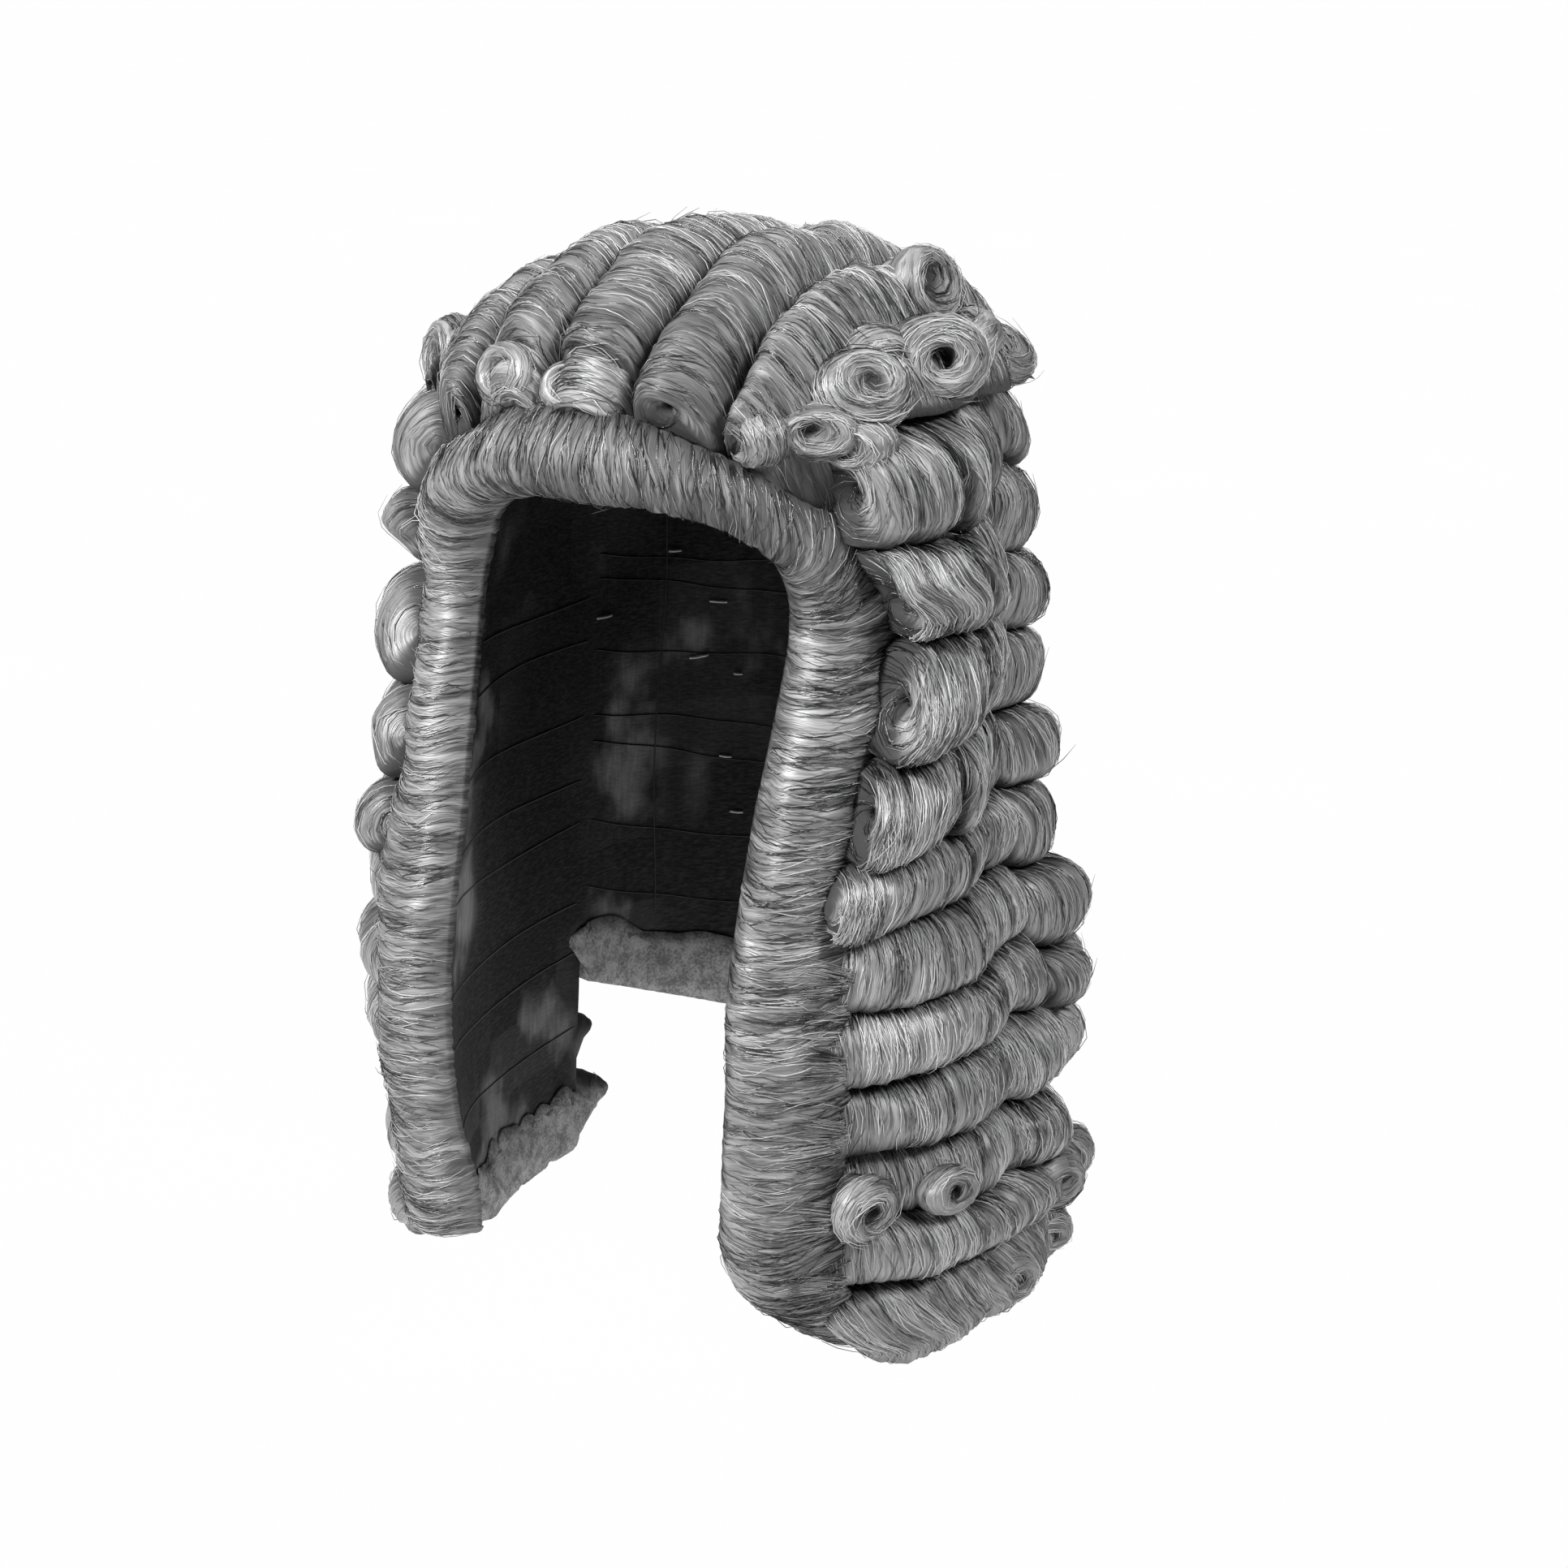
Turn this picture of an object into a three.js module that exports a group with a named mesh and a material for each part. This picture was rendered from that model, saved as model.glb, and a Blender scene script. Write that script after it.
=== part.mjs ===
// A full-bottomed ceremonial wig of curled grey hair on a dark cap, in millimetres.
// The origin is the inside of the crown, where the cap sits on a head. +Z is up, the face looks along -Y,
// and the wearer's left is +X. Every hair piece is a stretch of one layered space around the cap: a bearing
// (0 at the back of the head, 180 at the forehead), a height, and how far it has grown out of the cap.
import * as THREE from "three";

// Driving sizes
const CAP_WALL = 2;
const PIECE_GAP = 1;
const DOME_HEIGHT = 85;
const PLAN_POWER = 2.4;
const CROWN_BASE = -34;
const FOREHEAD_EDGE = -62;
const TEMPLE_CORNER = -114;
const BREAST = -240;
const LAPPET_LINING_END = -397;
const LAPPET_HEM = -427;
const BACK_LINING_END = -342;
const BACK_HEM = -375;
const BACK_LIFT = 0.1;
const SLIT_BEARING = 83;
const FACE_ROLL_WIDTH = 36;
const FACE_ROLL_TIP_WIDTH = 20;
const FACE_ROLL_DEPTH = 30;
const FACE_ROLL_TIP_DEPTH = 28;
const TEMPLE_FRONT = -70;
const BROW_POWER = 1.5;
const REAR_SLANT = 15;
const HEM_DROOP = 12;

// The cap's plan at each height: half its width, its depth behind and before the head's axis,
// and half the width of the face opening
const CAP_PLAN = [
  { z: -427, halfWidth: 106, back: 112, front: 126, opening: 90 },
  { z: -384, halfWidth: 105, back: 111, front: 136, opening: 68 },
  { z: -340, halfWidth: 102, back: 110, front: 152, opening: 70 },
  { z: -300, halfWidth: 100, back: 109, front: 158, opening: 72 },
  { z: -260, halfWidth: 97, back: 108, front: 156, opening: 71 },
  { z: -200, halfWidth: 92, back: 106, front: 145, opening: 72 },
  { z: -150, halfWidth: 88, back: 105, front: 142, opening: 75 },
  { z: -114, halfWidth: 86, back: 104, front: 138, opening: 76 },
  { z: -85, halfWidth: 84, back: 104, front: 116, opening: 70 },
  { z: -60, halfWidth: 84, back: 104, front: 104, opening: 66 },
  { z: 60, halfWidth: 84, back: 104, front: 102, opening: 66 },
];

// Crown rolls from the wearer's right, and the two short curls before the middle ones: middle, width,
// where they begin and end, depth before and behind, and the side on which the roll has no neighbour
const CROWN_ROLLS = [
  { name: "right_temple_roll", x: -111, width: 27, from: -68, to: 88, front: 45, back: 42, open: -1 },
  { name: "crown_roll_1", x: -78, width: 39, from: -102, to: 98, front: 41, back: 40, open: 0 },
  { name: "crown_roll_2", x: -39, width: 39, from: -88, to: 108, front: 42, back: 36, open: 0 },
  { name: "crown_roll_3", x: 0, width: 39, from: -88, to: 111, front: 43, back: 34, open: 0 },
  { name: "crown_roll_4", x: 39, width: 39, from: -103, to: 108, front: 42, back: 38, open: 0 },
  { name: "crown_roll_5", x: 78, width: 39, from: -102, to: 98, front: 45, back: 44, open: 0 },
  { name: "left_temple_roll", x: 111, width: 27, from: -68, to: 88, front: 48, back: 44, open: 1 },
  { name: "brow_curl_1", x: -39, width: 39, from: -106, to: -90, front: 34, back: 38, open: 0 },
  { name: "brow_curl_2", x: 0, width: 39, from: -106, to: -90, front: 34, back: 38, open: 0 },
];

// Side rows from the crown down: where each begins, its depth at the face and behind, how far its rear
// end slants back as it grows, its clearance from the face roll and whether its front end is open.
// Each is parted into a long curl at the face and a short one behind.
const SIDE_STATIONS = [0, 0.12, 0.34, 0.58, 0.76, 0.88, 1];
const SIDE_PARTING = 0.76;
const SIDE_ROWS = [
  { top: -34, front: 60, rear: 38, slant: 0, clear: 1.8, hole: true },
  { top: -80, front: 66, rear: 37, slant: 0, clear: 4, hole: true },
  { top: -121, front: 67, rear: 37, slant: 0, clear: 1.8, hole: true },
  { top: -163, front: 62, rear: 40, slant: 0, clear: 1.8, hole: true },
  { top: -203, front: 54, rear: 45, slant: 0, clear: 1.8, hole: false },
  { top: -236, front: 51, rear: 47, slant: 0, clear: 1.8, hole: false },
  { top: -268, front: 50, rear: 56, slant: 0, clear: 1.8, hole: false },
  { top: -301, front: 48, rear: 62, slant: 0, clear: 1.8, hole: false },
  { top: -335, front: 34, rear: 66, slant: 0, clear: 1.8, hole: false },
  { top: -368, front: 44, rear: 60, slant: REAR_SLANT, clear: 1.8, hole: false },
];
const LAPPET_HEM_ROW = { front: 42, rear: 47, slant: REAR_SLANT, clear: 3, hole: false };

// Ring curls that stand on the left side's ninth row: bearing, height, radius, and how far out they begin and end
const RING_CURLS = [
  { number: 1, bearing: 119.5, z: -351, radius: 14.5, from: 36, to: 46 },
  { number: 2, bearing: 106, z: -351.5, radius: 14, from: 45, to: 54 },
];

// Back rows from the crown down, lifted towards the shoulders: depth at the middle and at the sides,
// and how far the row's curls are shifted along it, in curls
const BACK_CURLS = 4;
const BACK_ROWS = [
  { top: -34, middle: 42, sides: 36, shift: 0 },
  { top: -76, middle: 43, sides: 35, shift: 0.5 },
  { top: -116, middle: 44, sides: 36, shift: 0 },
  { top: -154, middle: 44, sides: 39, shift: 0.5 },
  { top: -192, middle: 45, sides: 43, shift: 0 },
  { top: -230, middle: 46, sides: 44, shift: 0.5 },
  { top: -268, middle: 47, sides: 64, shift: 0 },
  { top: -306, middle: 47, sides: 66, shift: 0.5 },
];
const BACK_HEM_ROW = { middle: 45, sides: 54, shift: 0 };

// Across the face roll, from the lip inside the opening back to the curls: how far back, and how far grown
const FACE_ROLL_SECTION = [
  { back: -0.09, grown: 0.02 },
  { back: -0.12, grown: 0.3 },
  { back: -0.06, grown: 0.58 },
  { back: 0.12, grown: 0.82 },
  { back: 0.42, grown: 1.0 },
  { back: 0.74, grown: 0.95 },
  { back: 0.98, grown: 0.72 },
];

// Value of a plan column at a height, on a smooth curve through the table's rows
function planColumn(column, z) {
  const last = CAP_PLAN.length - 1;
  let i = 0;
  while (i < last - 1 && CAP_PLAN[i + 1].z < z) i++;
  const before = CAP_PLAN[Math.max(i - 1, 0)];
  const from = CAP_PLAN[i];
  const to = CAP_PLAN[i + 1];
  const after = CAP_PLAN[Math.min(i + 2, last)];
  const span = to.z - from.z;
  const t = THREE.MathUtils.clamp((z - from.z) / span, 0, 1);
  const slopeFrom = (span * (to[column] - before[column])) / (to.z - before.z);
  const slopeTo = (span * (after[column] - from[column])) / (after.z - from.z);
  const t2 = t * t;
  const t3 = t2 * t;
  return (
    (2 * t3 - 3 * t2 + 1) * from[column] +
    (t3 - 2 * t2 + t) * slopeFrom +
    (3 * t2 - 2 * t3) * to[column] +
    (t3 - t2) * slopeTo
  );
}

// How much the dome narrows at a height, when it has grown outwards
function domeShare(z, grown) {
  if (z <= -DOME_HEIGHT) return 1;
  const rise = Math.min((z + DOME_HEIGHT) / (DOME_HEIGHT + grown), 1);
  return Math.sqrt(1 - rise * rise);
}

const signedPower = (v, p) => Math.sign(v) * Math.abs(v) ** p;

// The point of the layered space at a bearing in degrees, a height and a growth out of the cap
function hairPoint(bearing, z, grown) {
  const share = domeShare(z, grown);
  const a = THREE.MathUtils.degToRad(bearing);
  const depth = Math.cos(a) > 0 ? planColumn("back", z) : planColumn("front", z);
  return new THREE.Vector3(
    share * (planColumn("halfWidth", z) + grown) * signedPower(Math.sin(a), 2 / PLAN_POWER),
    share * (depth + grown) * signedPower(Math.cos(a), 2 / PLAN_POWER),
    z,
  );
}

// Bearing of the face opening's edge at a height
function edgeBearing(z) {
  const share = planColumn("opening", z) / planColumn("halfWidth", z);
  return 180 - THREE.MathUtils.radToDeg(Math.asin(Math.min(share, 1) ** (PLAN_POWER / 2)));
}

// Degrees of bearing that cover a length along the cap, at the face opening's edge
function bearingsFor(length, z) {
  const edge = edgeBearing(z);
  return length / hairPoint(edge, z, 0).distanceTo(hairPoint(edge - 1, z, 0));
}

// Bearing where the face roll ends and the curls begin: narrow at the lappet's tip, arched over the brow
function curlBearing(z) {
  const level = Math.min(z, TEMPLE_CORNER);
  const toTip = THREE.MathUtils.smoothstep(z, LAPPET_HEM, LAPPET_LINING_END + 30);
  const width = THREE.MathUtils.lerp(FACE_ROLL_TIP_WIDTH, FACE_ROLL_WIDTH, toTip);
  const side = edgeBearing(level) - bearingsFor(width, level);
  const climb = THREE.MathUtils.clamp((z - TEMPLE_CORNER) / (CROWN_BASE - TEMPLE_CORNER), 0, 1);
  return 180 - (180 - side) * (1 - climb ** BROW_POWER) ** (1 / BROW_POWER);
}

// Height of that border over the brow, at a bearing
function browBorder(bearing) {
  const aside = Math.min((180 - bearing) / (180 - curlBearing(TEMPLE_CORNER)), 1);
  return THREE.MathUtils.lerp(TEMPLE_CORNER, CROWN_BASE, (1 - aside ** BROW_POWER) ** (1 / BROW_POWER));
}

// The brow's edge as an arch from a temple, at turn 0, to the middle of the forehead, at turn 1
function browEdge(turn) {
  const a = 0.5 * Math.PI * (1 - turn);
  const bearing = 180 - (180 - edgeBearing(TEMPLE_CORNER)) * Math.sin(a);
  return [bearing, TEMPLE_CORNER + (FOREHEAD_EDGE - TEMPLE_CORNER) * Math.cos(a)];
}

// Heights on the back rise towards the slits that part it from the lappets
const lifted = (z, bearing) => z * (1 - BACK_LIFT * (bearing / SLIT_BEARING) ** 2);

// Closed geometry from points and triangles, turned so that its faces point out
function closedGeometry(points, triangles) {
  let volume = 0;
  for (const [a, b, c] of triangles) {
    volume += points[a].dot(new THREE.Vector3().crossVectors(points[b], points[c]));
  }
  const facing = volume < 0 ? triangles.map(([a, b, c]) => [a, c, b]) : triangles;
  const geometry = new THREE.BufferGeometry().setFromPoints(points);
  geometry.setIndex(facing.flat());
  geometry.computeVertexNormals();
  return geometry;
}

const centreOf = (section) =>
  section.reduce((sum, p) => sum.add(p), new THREE.Vector3()).divideScalar(section.length);

// Solid through closed sections of equal length, capped at both ends
function loft(sections) {
  const size = sections[0].length;
  const points = sections.flat();
  const triangles = [];
  for (let s = 0; s + 1 < sections.length; s++) {
    for (let i = 0; i < size; i++) {
      const a = s * size + i;
      const b = s * size + ((i + 1) % size);
      triangles.push([a, b, b + size], [a, b + size, a + size]);
    }
  }
  const last = (sections.length - 1) * size;
  const startCentre = points.push(centreOf(sections[0])) - 1;
  const endCentre = points.push(centreOf(sections[sections.length - 1])) - 1;
  for (let i = 0; i < size; i++) {
    const next = (i + 1) % size;
    triangles.push([startCentre, next, i], [endCentre, last + i, last + next]);
  }
  return closedGeometry(points, triangles);
}

// Solid through closed sections of equal length that run round to the first one again
function ringLoft(sections) {
  const size = sections[0].length;
  const count = sections.length * size;
  const points = sections.flat();
  const triangles = [];
  for (let s = 0; s < sections.length; s++) {
    for (let i = 0; i < size; i++) {
      const a = s * size + i;
      const b = s * size + ((i + 1) % size);
      const [c, d] = [(b + size) % count, (a + size) % count];
      triangles.push([a, b, c], [a, c, d]);
    }
  }
  return closedGeometry(points, triangles);
}

// A section drawn in towards its own middle
function shrunk(section, share) {
  const centre = centreOf(section);
  return section.map((p) => p.clone().sub(centre).multiplyScalar(share).add(centre));
}

// The hollow that shows in the end of a curl: a rim and a floor set back inside
function openEnd(sections) {
  const rimShare = 0.52;
  const floorShare = 0.42;
  return [shrunk(sections[1], floorShare), shrunk(sections[0], rimShare), ...sections];
}

// Depth along a row of curls: full on each curl, drawn in at the partings between them and at the row's ends
function curlSwell(along, fromParting) {
  const endShare = 0.9;
  const dip = 0.12;
  const fromEnd = Math.min(along, 1 - along);
  const ends = THREE.MathUtils.lerp(endShare, 1, THREE.MathUtils.smoothstep(fromEnd, 0, 0.12));
  return ends * (1 - dip + dip * fromParting ** 0.5);
}

// Section of a row of curls at a bearing: flat on the cap, swelling outwards between two heights
function curlSection(bearingAt, top, bottom, innerGrowth, depth, innerSteps, droop) {
  const bulgeSteps = 5;
  const valley = 0.6;
  const at = (share, grown) => {
    const outwards = (grown - innerGrowth) / (depth - innerGrowth);
    const z = THREE.MathUtils.lerp(top, bottom - droop * outwards, share);
    return hairPoint(bearingAt(z, outwards, grown), z, grown);
  };
  const section = [];
  for (let i = 0; i < innerSteps; i++) {
    section.push(at(i / (innerSteps - 1), innerGrowth));
  }
  for (let i = 0; i <= bulgeSteps; i++) {
    const turn = Math.PI * (i / bulgeSteps - 0.5);
    const swell = valley + (1 - valley) * Math.cos(turn) ** 0.8;
    section.push(at(0.5 - 0.5 * Math.sin(turn), innerGrowth + (depth - innerGrowth) * swell));
  }
  return section;
}

const CURL_START = CAP_WALL + PIECE_GAP;
const HALF_GAP = PIECE_GAP / 2;

// Points up the cap's side of a row: more of them on the dome
const innerStepsAt = (top) => (top > TEMPLE_CORNER ? 6 : 3);

// Bearing of the upright plane before the temples, which parts the upper side rows from the crown rolls' front ends
function templeBearing(z, grown) {
  const reach = domeShare(z, grown) * (planColumn("front", z) + grown);
  const share = Math.min((-TEMPLE_FRONT - HALF_GAP) / reach, 1);
  return 180 - THREE.MathUtils.radToDeg(Math.acos(share ** (PLAN_POWER / 2)));
}

// Row of curls down one side, from the face roll to the slit
function sideRow(side, top, bottom, innerGrowth, row, droop = 0) {
  const sections = SIDE_STATIONS.map((along) => {
    const bearingAt = (z, outwards, grown) => {
      const perLength = bearingsFor(1, Math.min(z, TEMPLE_CORNER));
      const first = SLIT_BEARING + HALF_GAP * perLength - row.slant * outwards;
      const border = curlBearing(z) - row.clear * perLength;
      const last = top > TEMPLE_CORNER ? Math.min(border, templeBearing(z, grown)) : border;
      return side * THREE.MathUtils.lerp(last, first, along);
    };
    const fromParting = Math.min(Math.abs(along - SIDE_PARTING) / (1 - SIDE_PARTING), 1);
    const depth = THREE.MathUtils.lerp(row.front, row.rear, along ** 1.4) * curlSwell(along, fromParting);
    const low = bottom + HALF_GAP;
    const steps = innerStepsAt(top);
    return curlSection(bearingAt, top - HALF_GAP, low, innerGrowth, depth, steps, droop);
  });
  return loft(row.hole ? openEnd(sections) : sections);
}

// Ring curl that stands on a side row, open in the middle
function ringCurl(ring) {
  const segments = 12;
  const profile = [
    { across: 1, out: 0 },
    { across: 1, out: 0.7 },
    { across: 0.8, out: 1 },
    { across: 0.52, out: 0.85 },
    { across: 0.46, out: 0 },
  ];
  const centre = hairPoint(ring.bearing, ring.z, ring.from);
  const out = hairPoint(ring.bearing, ring.z, ring.to).sub(centre);
  const level = new THREE.Vector3(0, 0, 1).cross(out).normalize();
  const up = out.clone().cross(level).normalize();
  const sections = [];
  for (let i = 0; i < segments; i++) {
    const turn = (2 * Math.PI * i) / segments;
    const spoke = level.clone().multiplyScalar(Math.cos(turn)).addScaledVector(up, Math.sin(turn));
    sections.push(
      profile.map((p) =>
        centre.clone().addScaledVector(spoke, ring.radius * p.across).addScaledVector(out, p.out),
      ),
    );
  }
  return ringLoft(sections);
}

// Row of curls across the back, from slit to slit
function backRow(top, bottom, innerGrowth, row) {
  const stations = 3 * BACK_CURLS;
  const gapBearing = 0.5;
  const sections = [];
  for (let i = 0; i <= stations; i++) {
    const along = i / stations;
    const bearing = (SLIT_BEARING - gapBearing) * (2 * along - 1);
    const topHere = top === CROWN_BASE ? top : lifted(top, bearing);
    const aside = Math.abs(2 * along - 1) ** 2;
    const swell = curlSwell(along, Math.abs(Math.sin(Math.PI * (along * BACK_CURLS + row.shift))));
    const depth = THREE.MathUtils.lerp(row.middle, row.sides, aside) * swell;
    const low = lifted(bottom, bearing) + PIECE_GAP;
    const steps = innerStepsAt(top);
    sections.push(curlSection(() => bearing, topHere - HALF_GAP, low, innerGrowth, depth, steps, 0));
  }
  return loft(sections);
}

// Distance from the crown's pivot line to the dome grown by a length, along a tilt in the YZ plane
const PIVOT_HEIGHT = -260;
function domeReach(x, tilt, grown) {
  const inside = (r) => {
    const y = r * Math.sin(tilt);
    const z = PIVOT_HEIGHT + r * Math.cos(tilt);
    const depth = (y > 0 ? planColumn("back", z) : planColumn("front", z)) + grown;
    const across = (Math.abs(x) / (planColumn("halfWidth", z) + grown)) ** PLAN_POWER;
    const plan = (across + (Math.abs(y) / depth) ** PLAN_POWER) ** (2 / PLAN_POWER);
    const rise = Math.max(z + DOME_HEIGHT, 0) / (DOME_HEIGHT + grown);
    return plan + rise * rise < 1;
  };
  let low = 0;
  let high = 400;
  for (let i = 0; i < 40; i++) {
    const middle = (low + high) / 2;
    if (inside(middle)) low = middle;
    else high = middle;
  }
  return low;
}

// Distance from the pivot line to what a crown roll stands on: the rows beside it, and the face roll before it
function crownFloor(x, tilt) {
  const cosine = Math.cos(tilt);
  const level = (CROWN_BASE + HALF_GAP - PIVOT_HEIGHT) / cosine;
  if (tilt >= 0) return level;
  const grown = 10;
  const free = (r) => {
    const y = r * Math.sin(tilt);
    const z = PIVOT_HEIGHT + r * cosine;
    const across = Math.abs(x) / (planColumn("halfWidth", z) + grown);
    const along = Math.abs(y) / (planColumn("front", z) + grown);
    const aside = THREE.MathUtils.radToDeg(Math.atan((across / along) ** (PLAN_POWER / 2)));
    const border = Math.max(browBorder(180 - aside), SIDE_ROWS[1].top);
    return y < TEMPLE_FRONT - HALF_GAP && z > border + PIECE_GAP;
  };
  let low = 0;
  let high = level;
  for (let i = 0; i < 40; i++) {
    const middle = (low + high) / 2;
    if (free(middle)) high = middle;
    else low = middle;
  }
  return high;
}

// Farthest a crown roll may spread sideways at a tilt and still stand on the dome
function domeSpread(tilt, grown, floor) {
  let low = 0;
  let high = 200;
  for (let i = 0; i < 30; i++) {
    const middle = (low + high) / 2;
    if (domeReach(middle, tilt, grown) > floor) low = middle;
    else high = middle;
  }
  return low;
}

// Roll that runs front to back over the crown, between two upright planes
function crownRoll(roll) {
  const frontSteps = 3;
  const rearSteps = 7;
  const baseSteps = 4;
  const bulgeSteps = 6;
  const valley = 0.58;
  const leastDepth = 3;
  const base = CROWN_BASE + HALF_GAP - PIVOT_HEIGHT;
  const parting = THREE.MathUtils.clamp(TEMPLE_FRONT - HALF_GAP, roll.from, roll.to);
  const starts = [];
  for (let s = 0; s < frontSteps && parting > roll.from; s++) {
    starts.push(THREE.MathUtils.lerp(roll.from, parting, s / frontSteps));
  }
  for (let s = 0; s <= rearSteps && parting < roll.to; s++) {
    starts.push(THREE.MathUtils.lerp(parting, roll.to, s / rearSteps));
  }
  if (parting === roll.to) starts.push(roll.to);
  const sections = starts.map((y) => {
    const along = (y - roll.from) / (roll.to - roll.from);
    const tilt = Math.atan2(y, base);
    const level = base / Math.cos(tilt);
    const depth = THREE.MathUtils.lerp(roll.front, roll.back, along);
    const spread = domeSpread(tilt, depth, level + leastDepth);
    const place = (x, r) =>
      new THREE.Vector3(x, r * Math.sin(tilt), PIVOT_HEIGHT + r * Math.cos(tilt));
    const left = Math.max(roll.x - roll.width / 2 + HALF_GAP, -spread);
    const right = Math.min(roll.x + roll.width / 2 - HALF_GAP, spread);
    const section = [];
    for (let i = 0; i < baseSteps; i++) {
      const x = THREE.MathUtils.lerp(right, left, i / (baseSteps - 1));
      section.push(place(x, Math.max(domeReach(x, tilt, CURL_START + HALF_GAP), crownFloor(x, tilt))));
    }
    for (let i = 0; i <= bulgeSteps; i++) {
      const turn = Math.PI * (i / bulgeSteps - 0.5);
      const x = THREE.MathUtils.lerp(left, right, 0.5 + 0.5 * Math.sin(turn));
      const free = roll.open * turn > 0;
      const swell = free ? 1 : valley + (1 - valley) * Math.cos(turn) ** 0.9;
      section.push(place(x, Math.max(domeReach(x, tilt, depth * swell), crownFloor(x, tilt) + leastDepth)));
    }
    return section;
  });
  return loft(openEnd(sections));
}

// Stations of the face roll up one side: the opening's edge and the curls' border, as bearing and height
function faceRollStations() {
  const sideSteps = 18;
  const browSteps = 14;
  const stations = [];
  for (let i = 0; i <= sideSteps; i++) {
    const z = THREE.MathUtils.lerp(LAPPET_HEM, TEMPLE_CORNER, i / sideSteps);
    stations.push({ edge: [edgeBearing(z), z], border: [curlBearing(z), z] });
  }
  for (let i = 1; i <= browSteps; i++) {
    const turn = i / browSteps;
    const bearing = THREE.MathUtils.lerp(curlBearing(TEMPLE_CORNER), 180, turn);
    stations.push({ edge: browEdge(turn), border: [bearing, browBorder(bearing) - HALF_GAP] });
  }
  return stations;
}

// Roll of brushed hair round the face opening, from one lappet's tip to the other's
function faceRoll() {
  const up = faceRollStations();
  const mirrored = up
    .slice(0, -1)
    .reverse()
    .map(({ edge, border }) => ({ edge: [360 - edge[0], edge[1]], border: [360 - border[0], border[1]] }));
  const tip = 0.85;
  const tipStations = 3;
  const innerSteps = 5;
  const all = [...up, ...mirrored];
  const sections = all.map(({ edge, border }, index) => {
    const lowered = THREE.MathUtils.smoothstep(-edge[1], -BREAST, -LAPPET_HEM);
    const depth = THREE.MathUtils.lerp(FACE_ROLL_DEPTH, FACE_ROLL_TIP_DEPTH, lowered);
    const fromEnd = Math.min(index, all.length - 1 - index) / tipStations;
    const full = THREE.MathUtils.lerp(tip, 1, Math.min(fromEnd, 1));
    const reach = hairPoint(...edge, 0).distanceTo(hairPoint(...border, 0));
    const at = (back, grown) => {
      const share = back < 0 ? (back * FACE_ROLL_WIDTH) / reach : back;
      const bearing = THREE.MathUtils.lerp(edge[0], border[0], share);
      return hairPoint(bearing, THREE.MathUtils.lerp(edge[1], border[1], share), grown);
    };
    const section = [];
    for (let i = 0; i < innerSteps; i++) {
      section.push(at(THREE.MathUtils.lerp(0.98, -0.04, i / (innerSteps - 1)), CURL_START + HALF_GAP));
    }
    for (const { back, grown } of FACE_ROLL_SECTION) {
      section.push(at(back, THREE.MathUtils.lerp(-CAP_WALL, depth * full, grown)));
    }
    return section;
  });
  return loft(sections);
}

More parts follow.
